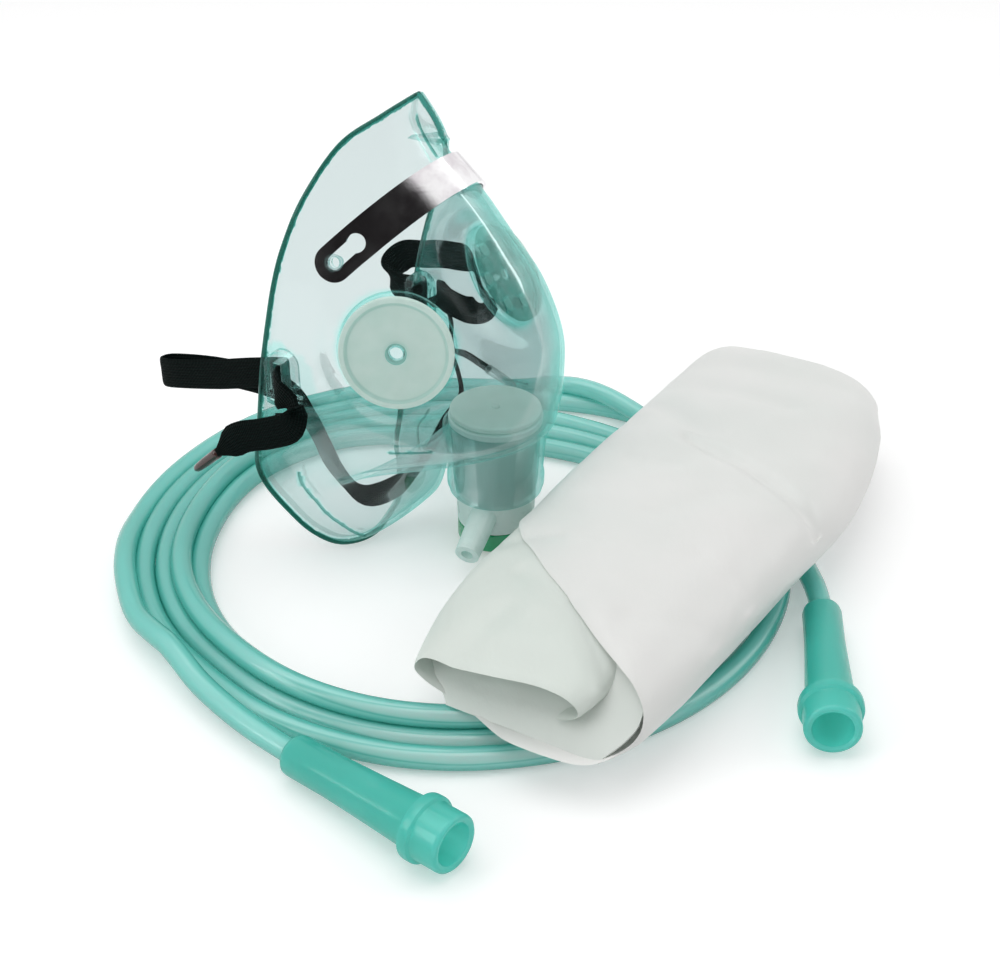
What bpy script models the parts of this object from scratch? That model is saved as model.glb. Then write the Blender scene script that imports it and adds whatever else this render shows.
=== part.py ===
"""Oxygen face mask with valve discs, nose clip, elastic strap, folded reservoir bag and coiled tubing.

Metres, +Z up. The set lies as it is unpacked: the mask stands on its chin inside the coil of tubing,
and the rolled bag lies across the coil in front of it. The camera side is -Y.
"""

import math

import bmesh
import bpy
from mathutils import Matrix, Vector
from mathutils.bvhtree import BVHTree

MM = 0.001
GAP = 0.3 * MM

# Where the middle of the set without its tubing lies, seen from the middle of the coil
SET_MIDDLE = Vector((23.3, -15.6, 0.0)) * MM

# Mask moulding
MASK_PLACE = Vector((-25.5, 22.3, 0.0)) * MM
MASK_TURN = math.radians(-28.6)
SHELL_WALL = 1.2 * MM
RIM_BEAD_DIAMETER = 2.2 * MM
SHELL_ROWS = 34
SHELL_COLUMNS = 15
# Each station, nose to chin: middle line (forward, height), right rim and left rim (forward, half
# width, height), and how full the right and left curves between them are (2 is an ellipse, less a
# ridge). The soft moulding stands a little twisted, so its two sides differ.
SHELL_STATIONS = (
    ((20.7, 113.6), (20.7, 0.0, 113.6), (20.7, 0.0, 113.6), 1.45, 1.6),
    ((20.0, 107.5), (15.5, 7.5, 109.8), (22.3, 5.0, 105.5), 1.45, 1.7),
    ((23.6, 101.0), (8.7, 14.5, 104.2), (20.5, 11.5, 96.0), 1.45, 1.9),
    ((29.0, 96.2), (3.6, 22.5, 93.5), (14.0, 19.0, 85.0), 1.45, 1.9),
    ((35.5, 90.0), (0.2, 26.6, 83.0), (8.5, 24.5, 76.0), 1.5, 1.85),
    ((42.5, 81.5), (-1.3, 29.2, 75.0), (4.8, 27.3, 68.5), 1.55, 1.9),
    ((50.0, 70.8), (-2.7, 31.0, 65.5), (1.2, 29.8, 59.5), 1.6, 2.1),
    ((55.2, 58.5), (-4.6, 32.0, 54.4), (-1.8, 31.4, 49.5), 1.7, 2.15),
    ((56.0, 48.5), (-6.8, 31.5, 43.5), (-3.4, 30.6, 38.0), 1.9, 2.15),
    ((55.2, 40.5), (-9.9, 29.6, 32.0), (-4.2, 28.6, 25.5), 2.1, 2.2),
    ((52.6, 34.0), (-12.8, 27.6, 22.5), (-4.0, 26.0, 16.5), 2.2, 2.2),
    ((40.0, 31.2), (-11.3, 27.0, 16.5), (-3.0, 23.2, 12.0), 2.2, 2.2),
    ((27.0, 29.6), (-6.0, 26.4, 10.5), (-2.0, 20.0, 8.6), 2.2, 2.2),
    ((24.8, 20.0), (1.0, 25.2, 4.6), (0.0, 16.5, 6.4), 2.1, 2.1),
    ((22.4, 9.6), (8.0, 22.4, 1.9), (3.0, 12.8, 5.0), 2.0, 2.0),
    ((16.4, 4.0), (12.4, 14.0, 1.6), (6.4, 7.2, 3.4), 2.0, 2.0),
    ((10.5, 2.4), (10.5, 0.0, 2.4), (10.5, 0.0, 2.4), 2.0, 2.0),
)

# Neck of the mask and the port that pushes into it
NECK_FORWARD = 39.6 * MM
NECK_LEFT = 0.8 * MM
NECK_TOP = 35.0 * MM
NECK_BOTTOM = 15.5 * MM
NECK_WALL = 1.3 * MM
PORT_DIAMETER = 22.0 * MM
PORT_TAPER = 0.045
PORT_WALL = 1.6 * MM
PORT_PLATE = 1.6 * MM
PORT_BOTTOM = 7.0 * MM
PORT_FLANGE = 0.7 * MM
PORT_PLATE_HOLES = 6
PORT_PLATE_HOLE = 4.2 * MM
PORT_PLATE_CIRCLE = 12.0 * MM
NOZZLE_DIAMETER = 6.2 * MM
NOZZLE_ROOT_DIAMETER = 7.2 * MM
NOZZLE_BORE = 3.0 * MM
NOZZLE_HEIGHT = 14.8 * MM
NOZZLE_END = 8.2 * MM
NOZZLE_REACH = 21.0 * MM
NOZZLE_TURN = math.radians(-81.0)
COLLAR_WALL = 1.5 * MM
COLLAR_BOTTOM = 1.5 * MM
COLLAR_GRIP = 3.5 * MM

# Valve seats on both sides of the nose
VENT_RIGHT = Vector((27.5, -23.6, 62.0)) * MM
VENT_LEFT = Vector((27.6, 26.0, 60.8)) * MM
VENT_NORMAL = Vector((0.42, 0.88, 0.16)).normalized()
SEAT_DIAMETER = 27.6 * MM
SEAT_PROUD = 0.7 * MM
SEAT_BLEND = 5.5 * MM
SEAT_HOLES = 6
SEAT_HOLE_DIAMETER = 4.0 * MM
SEAT_HOLE_CIRCLE = 17.6 * MM
STUD_DIAMETER = 3.2 * MM
STUD_HEAD_DIAMETER = 4.9 * MM
STUD_HEAD_HEIGHT = 1.1 * MM
VALVE_DIAMETER = 26.4 * MM
VALVE_THICKNESS = 1.1 * MM
VALVE_RIM_HEIGHT = 0.5 * MM
VALVE_RIM_WIDTH = 1.4 * MM
VALVE_HOLE_CLEARANCE = 0.3 * MM

INLET_DISC_DIAMETER = 22.6 * MM
INLET_DISC_THICKNESS = 1.3 * MM
INLET_NUB_DIAMETER = 2.2 * MM

# Aluminium clip over the nose and the two studs that hold it
CLIP_WIDTH = 8.7 * MM
CLIP_THICKNESS = 0.9 * MM
CLIP_STUD_DIAMETER = 2.6 * MM
CLIP_STUD_HEAD = 4.0 * MM
CLIP_KEYHOLE_PLAY = 0.2 * MM
CLIP_KEYHOLE_REACH = 6.6 * MM
CLIP_SLOT_CLEARANCE = 0.35 * MM
CLIP_RIGHT_END = Vector((12.2, -23.0, 80.1)) * MM
CLIP_LEFT_END = Vector((20.5, 19.5, 84.8)) * MM
CLIP_TOP = Vector((28.9, 0.0, 96.2)) * MM

# Lugs for the strap
LUG_FORWARD = 0.2 * MM
LUG_RIGHT_HEIGHT = 51.5 * MM
LUG_LEFT_HEIGHT = 46.5 * MM
LUG_WIDTH = 7.6 * MM
LUG_LENGTH = 14.0 * MM
LUG_PROUD = 1.5 * MM
STRAP_WIDTH = 8.0 * MM
STRAP_THICKNESS = 1.1 * MM
STRAP_SLOT_CLEARANCE = 0.6 * MM
STRAP_TIP_LENGTH = 9.0 * MM
STRAP_TIP_DIAMETER = 2.2 * MM

# Reservoir bag, folded over itself in a flat roll
BAG_NEAR_END = Vector((15.5, -83.5, 9.9)) * MM
BAG_TURN = math.radians(59.5)
BAG_LENGTH = 156.0 * MM
BAG_WIDTH = 55.0 * MM
BAG_WIDENING = 0.13
BAG_LAYER = 5.3 * MM
BAG_LAYER_GAP = 1.6 * MM
BAG_NECK_WIDTH = 26.0 * MM
BAG_NECK_THICKNESS = 3.0 * MM

# Tubing
TUBE_DIAMETER = 5.3 * MM
# The coil at angles round it: angle in degrees, outer radius, inner radius and height in millimetres
COIL_OUTLINE = (
    (14.0, 86.0, 59.0, 9.0),
    (45.0, 84.0, 52.0, 7.0),
    (90.0, 82.0, 45.0, 6.0),
    (135.0, 85.0, 53.0, 7.5),
    (180.0, 86.5, 63.0, 9.6),
    (204.9, 86.5, 65.0, 9.6),
    (205.1, 79.8, 65.0, 9.6),
    (232.0, 80.6, 66.0, 9.6),
    (247.0, 81.2, 66.5, 9.6),
    (270.0, 86.5, 68.5, 9.6),
    (300.0, 88.0, 69.0, 9.6),
    (330.0, 86.0, 67.0, 9.6),
    (350.0, 80.0, 63.0, 9.2),
    (373.8, 79.8, 59.0, 9.0),
)
COIL_STEP = 4.5

# End connectors of the tubing
CONNECTOR_LENGTH = 45.0 * MM
CONNECTOR_BODY = 9.2 * MM
CONNECTOR_FLARE = 11.0 * MM
CONNECTOR_FLANGE = 14.2 * MM
CONNECTOR_FLANGE_WIDTH = 2.6 * MM
CONNECTOR_LIP = 12.4 * MM
CONNECTOR_LIP_LENGTH = 6.5 * MM
CONNECTOR_MOUTH = 8.8 * MM
CONNECTOR_MOUTH_DEPTH = 20.0 * MM
CONNECTOR_TUBE_DEPTH = 18.0 * MM
TUBE_BORE = 3.6 * MM

# Tubing routes from the coil to each connector, in millimetres from the middle of the coil
LEFT_LEAD = (
    (-75.3, -35.9, 2.75),
    (-70.0, -45.3, 2.75),
    (-63.8, -53.6, 2.8),
    (-55.4, -62.4, 3.2),
    (-43.6, -72.6, 4.2),
)
LEFT_CONNECTOR = (-32.4, -82.3)
LEFT_CONNECTOR_TURN = math.radians(-39.6)
RIGHT_LEAD = (
    (81.5, 19.4, 2.75),
    (83.9, 7.0, 2.75),
    (85.2, -5.0, 2.9),
    (86.1, -15.0, 3.4),
    (86.7, -24.0, 4.2),
)
RIGHT_CONNECTOR = (86.3, -34.1)
RIGHT_CONNECTOR_TURN = math.radians(-97.6)


def clear_scene():
    for obj in list(bpy.data.objects):
        bpy.data.objects.remove(obj, do_unlink=True)


def material(name, color, roughness, metallic=0.0, transmission=0.0):
    made = bpy.data.materials.new(name)
    made.use_nodes = True
    shader = made.node_tree.nodes["Principled BSDF"]
    shader.inputs["Base Color"].default_value = (*color, 1.0)
    shader.inputs["Roughness"].default_value = roughness
    shader.inputs["Metallic"].default_value = metallic
    shader.inputs["Transmission Weight"].default_value = transmission
    return made


def empty(name, parent=None, location=(0.0, 0.0, 0.0), turn=0.0):
    made = bpy.data.objects.new(name, None)
    bpy.context.scene.collection.objects.link(made)
    made.parent = parent
    made.location = location
    made.rotation_euler = (0.0, 0.0, turn)
    return made


def piece(name, mesh, parent, surface=None, smooth_angle=40.0):
    made = bpy.data.objects.new(name, mesh)
    bpy.context.scene.collection.objects.link(made)
    made.parent = parent
    if surface:
        mesh.materials.append(surface)
    if smooth_angle:
        mesh.shade_smooth()
        mesh.set_sharp_from_angle(angle=math.radians(smooth_angle))
    return made


def mesh_of(name, bm):
    mesh = bpy.data.meshes.new(name)
    bm.to_mesh(mesh)
    bm.free()
    return mesh


def helper(name, bm, parent):
    """A cutter or an addition for a Boolean, left out of the finished set."""
    made = piece(name, mesh_of(name, bm), parent, smooth_angle=0.0)
    made.hide_render = True
    made.display_type = "WIRE"
    return made


def boolean(target, tool, operation, solver="EXACT"):
    made = target.modifiers.new(f"{operation} {tool.name}", "BOOLEAN")
    made.operation = operation
    made.object = tool
    made.solver = solver
    return made


def smooth_value(values, at):
    """Value at a fractional index of a list, on a smooth curve through all of them."""
    last = len(values) - 1
    index = min(int(at), last - 1)
    t = at - index
    before = values[max(index - 1, 0)]
    start = values[index]
    end = values[index + 1]
    after = values[min(index + 2, last)]
    rise_start = (end - before) * 0.5
    rise_end = (after - start) * 0.5
    return (
        start * (2 * t**3 - 3 * t**2 + 1)
        + end * (3 * t**2 - 2 * t**3)
        + rise_start * (t**3 - 2 * t**2 + t)
        + rise_end * (t**3 - t**2)
    )


def smooth_route(points, spacing):
    """Points about one spacing apart along a smooth curve through hand-chosen points."""
    fine = []
    steps = 24
    for index in range((len(points) - 1) * steps + 1):
        fine.append(smooth_value(points, index / steps))
    lengths = [0.0]
    for a, b in zip(fine, fine[1:]):
        lengths.append(lengths[-1] + (b - a).length)
    count = max(2, round(lengths[-1] / spacing))
    route = []
    at = 0
    for number in range(count + 1):
        wanted = lengths[-1] * number / count
        while at < len(fine) - 2 and lengths[at + 1] < wanted:
            at += 1
        part = (wanted - lengths[at]) / max(lengths[at + 1] - lengths[at], 1e-9)
        route.append(fine[at].lerp(fine[at + 1], min(part, 1.0)))
    return route


def turned(profile, sides, place=None):
    """A closed solid turned about Z from (radius, height) points that run up its outer side."""
    bm = bmesh.new()
    rings = []
    for radius, height in profile:
        if radius < 1e-9:
            rings.append([bm.verts.new((0.0, 0.0, height))])
            continue
        ring = []
        for side in range(sides):
            angle = 2 * math.pi * side / sides
            ring.append(bm.verts.new((radius * math.cos(angle), radius * math.sin(angle), height)))
        rings.append(ring)
    closed = len(rings[0]) > 1 and len(rings[-1]) > 1
    pairs = list(zip(rings, rings[1:]))
    if closed:
        pairs.append((rings[-1], rings[0]))
    for low, high in pairs:
        for side in range(sides):
            after = (side + 1) % sides
            corners = [low[side % len(low)], low[after % len(low)]]
            corners += [high[after % len(high)], high[side % len(high)]]
            kept = list(dict.fromkeys(corners))
            bm.faces.new(kept)
    bmesh.ops.recalc_face_normals(bm, faces=bm.faces)
    if place:
        bm.transform(place)
    return bm


def rod(diameter, start, end, sides=20, end_diameter=None):
    """A cylinder or cone from one point to another."""
    along = end - start
    bm = bmesh.new()
    bmesh.ops.create_cone(
        bm,
        cap_ends=True,
        segments=sides,
        radius1=diameter / 2,
        radius2=(end_diameter or diameter) / 2,
        depth=along.length,
    )
    bm.transform(Matrix.Translation((start + end) / 2) @ along.to_track_quat("Z", "Y").to_matrix().to_4x4())
    return bm


def swept(sections, closed_ends=True):
    """A solid skinned over a row of sections that have the same number of points."""
    bm = bmesh.new()
    rings = [[bm.verts.new(point) for point in section] for section in sections]
    count = len(rings[0])
    for low, high in zip(rings, rings[1:]):
        for side in range(count):
            after = (side + 1) % count
            bm.faces.new((low[side], low[after], high[after], high[side]))
    if closed_ends:
        bm.faces.new(reversed(rings[0]))
        bm.faces.new(rings[-1])
    else:
        for side in range(count):
            after = (side + 1) % count
            bm.faces.new((rings[-1][side], rings[-1][after], rings[0][after], rings[0][side]))
    bmesh.ops.recalc_face_normals(bm, faces=bm.faces)
    return bm


def facing(center, normal):
    """Places a shape made along +Z at a centre, with +Z turned to the normal."""
    return Matrix.Translation(center) @ normal.to_track_quat("Z", "Y").to_matrix().to_4x4()


def vent_center(side):
    return VENT_RIGHT if side < 0 else VENT_LEFT


def vent_normal(side):
    return Vector((VENT_NORMAL.x, side * VENT_NORMAL.y, VENT_NORMAL.z))


def shell_station(at):
    """Middle, right rim, left rim, right fullness and left fullness at a fractional station."""
    middles = [Vector((row[0][0], 0.0, row[0][1])) * MM for row in SHELL_STATIONS]
    rights = [Vector((row[1][0], -row[1][1], row[1][2])) * MM for row in SHELL_STATIONS]
    lefts = [Vector(row[2]) * MM for row in SHELL_STATIONS]
    full_right = [row[3] for row in SHELL_STATIONS]
    full_left = [row[4] for row in SHELL_STATIONS]
    lists = (middles, rights, lefts, full_right, full_left)
    return tuple(smooth_value(values, at) for values in lists)


def shell_point(at, across):
    """Point of the outer face: across runs from -1 at the right rim to 1 at the left rim."""
    middle, right, left, full_right, full_left = shell_station(at)
    rim, fullness = (right, full_right) if across < 0 else (left, full_left)
    out = math.sin(abs(across) * math.pi / 2)
    back = 1 - max(1 - out**fullness, 0.0) ** (1 / fullness)
    return Vector(
        (
            middle.x + (rim.x - middle.x) * back,
            rim.y * out,
            middle.z + (rim.z - middle.z) * back,
        )
    )


def on_seat(point):
    """The shell is pressed flat round each valve seat."""
    for side in (-1, 1):
        center = vent_center(side)
        normal = vent_normal(side)
        offset = point - center
        height = offset.dot(normal)
        away = (offset - normal * height).length
        flat = SEAT_DIAMETER / 2 + 0.6 * MM
        if abs(height) > 12 * MM or away > flat + SEAT_BLEND:
            continue
        share = min(max((flat + SEAT_BLEND - away) / SEAT_BLEND, 0.0), 1.0)
        share = share * share * (3 - 2 * share)
        point = point - normal * (height * share)
    return point


def shell_surface():
    last = len(SHELL_STATIONS) - 1
    bm = bmesh.new()
    tip = bm.verts.new(shell_point(0, 0))
    chin = bm.verts.new(shell_point(last, 0))
    rows = []
    for row in range(1, SHELL_ROWS):
        at = last * row / SHELL_ROWS
        columns = range(-SHELL_COLUMNS, SHELL_COLUMNS + 1)
        rows.append([bm.verts.new(on_seat(shell_point(at, c / SHELL_COLUMNS))) for c in columns])
    for upper, lower in zip(rows, rows[1:]):
        for c in range(len(upper) - 1):
            bm.faces.new((upper[c], lower[c], lower[c + 1], upper[c + 1]))
    for c in range(len(rows[0]) - 1):
        bm.faces.new((tip, rows[0][c], rows[0][c + 1]))
        bm.faces.new((rows[-1][c], chin, rows[-1][c + 1]))
    bm.normal_update()
    return bm


def shell_solid():
    """The outer face with its inner face a wall behind it, and a thicker bead along the rim."""
    surface = shell_surface()
    swell = (RIM_BEAD_DIAMETER - SHELL_WALL) / 2
    bm = bmesh.new()
    outer = {}
    inner = {}
    edge = {}
    for vert in surface.verts:
        normal = vert.normal
        extra = swell if vert.is_boundary else 0.0
        outer[vert] = bm.verts.new(vert.co + normal * extra)
        inner[vert] = bm.verts.new(vert.co - normal * (SHELL_WALL + extra))
        if vert.is_boundary:
            within = [e.other_vert(vert).co for e in vert.link_edges if not e.is_boundary]
            away = vert.co - sum(within, Vector()) / len(within)
            away = (away - normal * away.dot(normal)).normalized()
            edge[vert] = bm.verts.new(vert.co - normal * (SHELL_WALL / 2) + away * swell)
    for face in surface.faces:
        bm.faces.new([outer[vert] for vert in face.verts])
        bm.faces.new([inner[vert] for vert in reversed(face.verts)])
    for rim in (e for e in surface.edges if e.is_boundary):
        a, b = rim.verts
        bm.faces.new((outer[a], outer[b], edge[b], edge[a]))
        bm.faces.new((edge[a], edge[b], inner[b], inner[a]))
    surface.free()
    bmesh.ops.recalc_face_normals(bm, faces=bm.faces)
    return bm


def neck_axis(height):
    return Vector((NECK_FORWARD, NECK_LEFT, height))


def port_radius(height):
    return PORT_DIAMETER / 2 - (NECK_TOP - height) * PORT_TAPER


def neck_outer():
    bottom = port_radius(NECK_BOTTOM) + GAP + NECK_WALL
    top = port_radius(NECK_TOP) + GAP + NECK_WALL
    lip = 0.5 * MM
    profile = [
        (0.0, NECK_BOTTOM),
        (bottom, NECK_BOTTOM),
        (bottom, NECK_BOTTOM + 1.2 * MM),
        (top, NECK_TOP - 4.0 * MM),
        (top + lip, NECK_TOP - 2.4 * MM),
        (top + lip, NECK_TOP - 0.8 * MM),
        (top - lip, NECK_TOP),
        (0.0, NECK_TOP),
    ]
    return turned(profile, 40, Matrix.Translation(neck_axis(0.0)))


def neck_bore():
    beyond = 12.0 * MM
    profile = []
    for height in (NECK_BOTTOM - beyond, NECK_TOP + beyond):
        profile.append((port_radius(height) + GAP, height))
    profile = [(0.0, profile[0][1])] + profile + [(0.0, profile[-1][1])]
    return turned(profile, 40, Matrix.Translation(neck_axis(0.0)))


def seat_disc(side):
    radius = SEAT_DIAMETER / 2
    back = -SHELL_WALL - 0.5 * MM
    edge = 0.5 * MM
    profile = [
        (0.0, back),
        (radius - edge, back),
        (radius, back + edge),
        (radius, SEAT_PROUD - edge),
        (radius - edge, SEAT_PROUD),
        (0.0, SEAT_PROUD),
    ]
    return turned(profile, 40, facing(vent_center(side), vent_normal(side)))


def seat_stud(side):
    """Shaft and head that hold the valve disc, long enough for the disc and its play."""
    shaft = SEAT_PROUD + GAP * 2 + VALVE_THICKNESS
    top = shaft + STUD_HEAD_HEIGHT
    head = STUD_HEAD_DIAMETER / 2
    profile = [
        (0.0, 0.0),
        (STUD_DIAMETER / 2, 0.0),
        (STUD_DIAMETER / 2, shaft),
        (head, shaft),
        (head * 0.94, shaft + (top - shaft) * 0.55),
        (head * 0.6, top),
        (0.0, top),
    ]
    return turned(profile, 20, facing(vent_center(side), vent_normal(side)))


def lug_frame(side):
    """Middle of a lug on the outer face and the way it faces."""
    height = LUG_RIGHT_HEIGHT if side < 0 else LUG_LEFT_HEIGHT
    return Vector((LUG_FORWARD, side * 60 * MM, height)), Vector((0.0, -side, 0.0))


def lug_block(center, side):
    """An arched pad: a flat plate with a round top."""
    bm = bmesh.new()
    half = LUG_WIDTH / 2
    straight = LUG_LENGTH / 2 - half
    outline = [(half, -LUG_LENGTH / 2), (-half, -LUG_LENGTH / 2)]
    for step in range(9):
        angle = math.pi - math.pi * step / 8
        outline.append((half * math.cos(angle), straight + half * math.sin(angle)))
    deep = 2.2 * MM
    base = [bm.verts.new((x, -side * deep, z)) for x, z in outline]
    face = bm.faces.new(base)
    grown = bmesh.ops.extrude_face_region(bm, geom=[face])
    moved = [item for item in grown["geom"] if isinstance(item, bmesh.types.BMVert)]
    bmesh.ops.translate(bm, verts=moved, vec=(0.0, side * (deep + LUG_PROUD), 0.0))
    bmesh.ops.recalc_face_normals(bm, faces=bm.faces)
    top = [edge for edge in bm.edges if all(v.co.y * side > 0 for v in edge.verts)]
    bmesh.ops.bevel(
        bm, geom=top, offset=0.6 * MM, segments=2, profile=0.5, affect="EDGES", material=-1
    )
    bm.transform(Matrix.Translation(center))
    return bm


def block(low, high):
    bm = bmesh.new()
    bmesh.ops.create_cube(bm, size=1.0)
    size = high - low
    bm.transform(Matrix.Translation((low + high) / 2) @ Matrix.Diagonal((*size, 1.0)))
    return bm


def strap_slot(center, side):
    deep = 8.0 * MM
    half_width = STRAP_THICKNESS / 2 + STRAP_SLOT_CLEARANCE
    half_length = STRAP_WIDTH / 2 + STRAP_SLOT_CLEARANCE
    low = center - Vector((half_width, deep, half_length))
    high = center + Vector((half_width, deep, half_length))
    return block(low, high)


def outer_hit(tree, start, direction):
    spot, normal, _, _ = tree.ray_cast(start, direction)
    if spot and normal.dot(direction) > 0:
        normal = -normal
    return spot, normal


def clip_lines():
    """Distance from the ridge along each leg of the clip, with the half width there: ends are round."""
    half = CLIP_WIDTH / 2
    rows = []
    for side, end in ((-1, CLIP_RIGHT_END), (1, CLIP_LEFT_END)):
        length = (end - CLIP_TOP).length
        leg = [(length * step / 12, half) for step in range(1 if side > 0 else 0, 13)]
        for step in range(1, 6):
            angle = math.radians(84.0) * step / 5
            leg.append((length + half * math.sin(angle), half * math.cos(angle)))
        row = [(CLIP_TOP + (end - CLIP_TOP).normalized() * away, width) for away, width in leg]
        rows = row[::-1] if side < 0 else rows + row
    return rows


def clip_frames(tree):
    """Base point, way along, way out, way across and half width at each line across the clip."""
    heart = Vector((8.0, 0.0, 70.0)) * MM
    spots = []
    for aim, width in clip_lines():
        outward = (aim - heart).normalized()
        spot, normal = outer_hit(tree, aim + outward * 60 * MM, -outward)
        spots.append((spot, normal, width))
    count = len(spots)
    frames = []
    for index, (spot, _, width) in enumerate(spots):
        before = spots[max(0, index - 1)][0]
        after = spots[min(count - 1, index + 1)][0]
        along = (after - before).normalized()
        window = spots[max(0, index - 2) : index + 3]
        out = sum((normal for _, normal, _ in window), Vector())
        out = (out - along * out.dot(along)).normalized()
        across = along.cross(out)
        lift = 0.0
        for share in (-1.0, -0.5, 0.0, 0.5, 1.0):
            above = spot + across * (CLIP_WIDTH / 2 * share) + out * 20 * MM
            hit, _ = outer_hit(tree, above, -out)
            if hit:
                lift = max(lift, (hit - spot).dot(out))
        frames.append((spot + out * (lift + GAP * 1.5), along, out, across, width))
    return frames


def clip_end(frames, end):
    """The frame nearest to the stud at an end."""
    return min(frames, key=lambda frame: (frame[0] - end).length)


def clip_solid(frames):
    sections = []
    for base, _, out, across, half in frames:
        top = base + out * CLIP_THICKNESS
        aside = across * half
        sections.append((base - aside, base + aside, top + aside, top - aside))
    return swept(sections)


def keyhole(frames, end):
    """Cutter for one end: a round seat for the stud, a slot, and a larger hole that its head passes."""
    base, along, out, across, _ = clip_end(frames, end)
    inward = along if (CLIP_TOP - end).dot(along) > 0 else -along
    seat = CLIP_STUD_DIAMETER / 2 + CLIP_SLOT_CLEARANCE
    hole = CLIP_STUD_HEAD / 2 + CLIP_KEYHOLE_PLAY
    open_angle = math.asin(seat / hole)
    outline = []
    for step in range(11):
        angle = math.radians(90 + 180 * step / 10)
        outline.append((seat * math.cos(angle), seat * math.sin(angle)))
    for step in range(17):
        angle = -math.pi + open_angle + 2 * (math.pi - open_angle) * step / 16
        outline.append((CLIP_KEYHOLE_REACH + hole * math.cos(angle), hole * math.sin(angle)))
    deep = out * 5 * MM
    flat = [base + inward * x + across * y for x, y in outline]
    return swept([[point + level for point in flat] for level in (-deep, deep)])


def clip_stud(frames, end):
    """Shaft from the shell through the clip, with a head above it."""
    base, _, out, _, _ = clip_end(frames, end)
    shaft = CLIP_THICKNESS + GAP
    root = -GAP * 1.5 - 2.4 * MM
    profile = [
        (0.0, root),
        (CLIP_STUD_DIAMETER / 2, root),
        (CLIP_STUD_DIAMETER / 2, shaft),
        (CLIP_STUD_HEAD / 2, shaft),
        (CLIP_STUD_HEAD / 2 * 0.7, shaft + 0.9 * MM),
        (0.0, shaft + 1.1 * MM),
    ]
    return turned(profile, 16, facing(base, out))


def build_shell(parent, surface_material, clip):
    shell = piece("mask_shell", mesh_of("mask_shell", shell_solid()), parent, surface_material)

    def join(name, bm, operation="UNION"):
        boolean(shell, helper(name, bm, parent), operation, "MANIFOLD")

    join("neck_outer", neck_outer())
    tree, frames = clip
    lugs = {}
    for side, name in ((-1, "right"), (1, "left")):
        join(f"seat_{name}", seat_disc(side))
        join(f"stud_{name}", seat_stud(side))
        start, direction = lug_frame(side)
        center, _ = outer_hit(tree, start, direction)
        lugs[side] = center
        join(f"lug_{name}", lug_block(center, side))
        end = CLIP_RIGHT_END if side < 0 else CLIP_LEFT_END
        join(f"clip_stud_{name}", clip_stud(frames, end))
    join("neck_bore", neck_bore(), "DIFFERENCE")
    for side, name in ((-1, "right"), (1, "left")):
        frame = facing(vent_center(side), vent_normal(side))
        for number in range(SEAT_HOLES):
            angle = 2 * math.pi * (number + 0.5) / SEAT_HOLES
            spot = Vector((math.cos(angle), math.sin(angle), 0.0)) * (SEAT_HOLE_CIRCLE / 2)
            low = frame @ (spot - Vector((0.0, 0.0, 6 * MM)))
            high = frame @ (spot + Vector((0.0, 0.0, 6 * MM)))
            cut = rod(SEAT_HOLE_DIAMETER, low, high, 12)
            join(f"seat_hole_{name}_{number}", cut, "DIFFERENCE")
        join(f"strap_slot_{name}", strap_slot(lugs[side], side), "DIFFERENCE")
    return shell


def valve_disc(side):
    base = SEAT_PROUD + GAP
    top = base + VALVE_THICKNESS
    radius = VALVE_DIAMETER / 2
    hole = STUD_DIAMETER / 2 + VALVE_HOLE_CLEARANCE
    inner_rim = radius - VALVE_RIM_WIDTH
    profile = [
        (hole, base),
        (radius - 0.2 * MM, base),
        (radius, base + 0.2 * MM),
        (radius, top + VALVE_RIM_HEIGHT - 0.2 * MM),
        (radius - 0.2 * MM, top + VALVE_RIM_HEIGHT),
        (inner_rim, top + VALVE_RIM_HEIGHT),
        (inner_rim - 0.4 * MM, top - VALVE_THICKNESS * 0.15),
        (hole, top - VALVE_THICKNESS * 0.15),
    ]
    return turned(profile, 48, facing(vent_center(side), vent_normal(side)))


def inlet_disc():
    base = NECK_TOP + GAP + PORT_PLATE + GAP
    top = base + INLET_DISC_THICKNESS
    radius = INLET_DISC_DIAMETER / 2
    nub = INLET_NUB_DIAMETER / 2
    profile = [
        (0.0, base),
        (radius, base),
        (radius, top - 0.4 * MM),
        (radius - 0.4 * MM, top),
        (nub, top),
        (nub * 0.8, top + 0.5 * MM),
        (0.0, top + 0.6 * MM),
    ]
    return turned(profile, 48, Matrix.Translation(neck_axis(0.0)))


def nozzle_point(reach):
    share = reach / NOZZLE_REACH
    height = NOZZLE_HEIGHT + (NOZZLE_END - NOZZLE_HEIGHT) * share
    way = Vector((math.cos(NOZZLE_TURN), math.sin(NOZZLE_TURN), 0.0))
    return neck_axis(height) + way * reach


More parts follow.
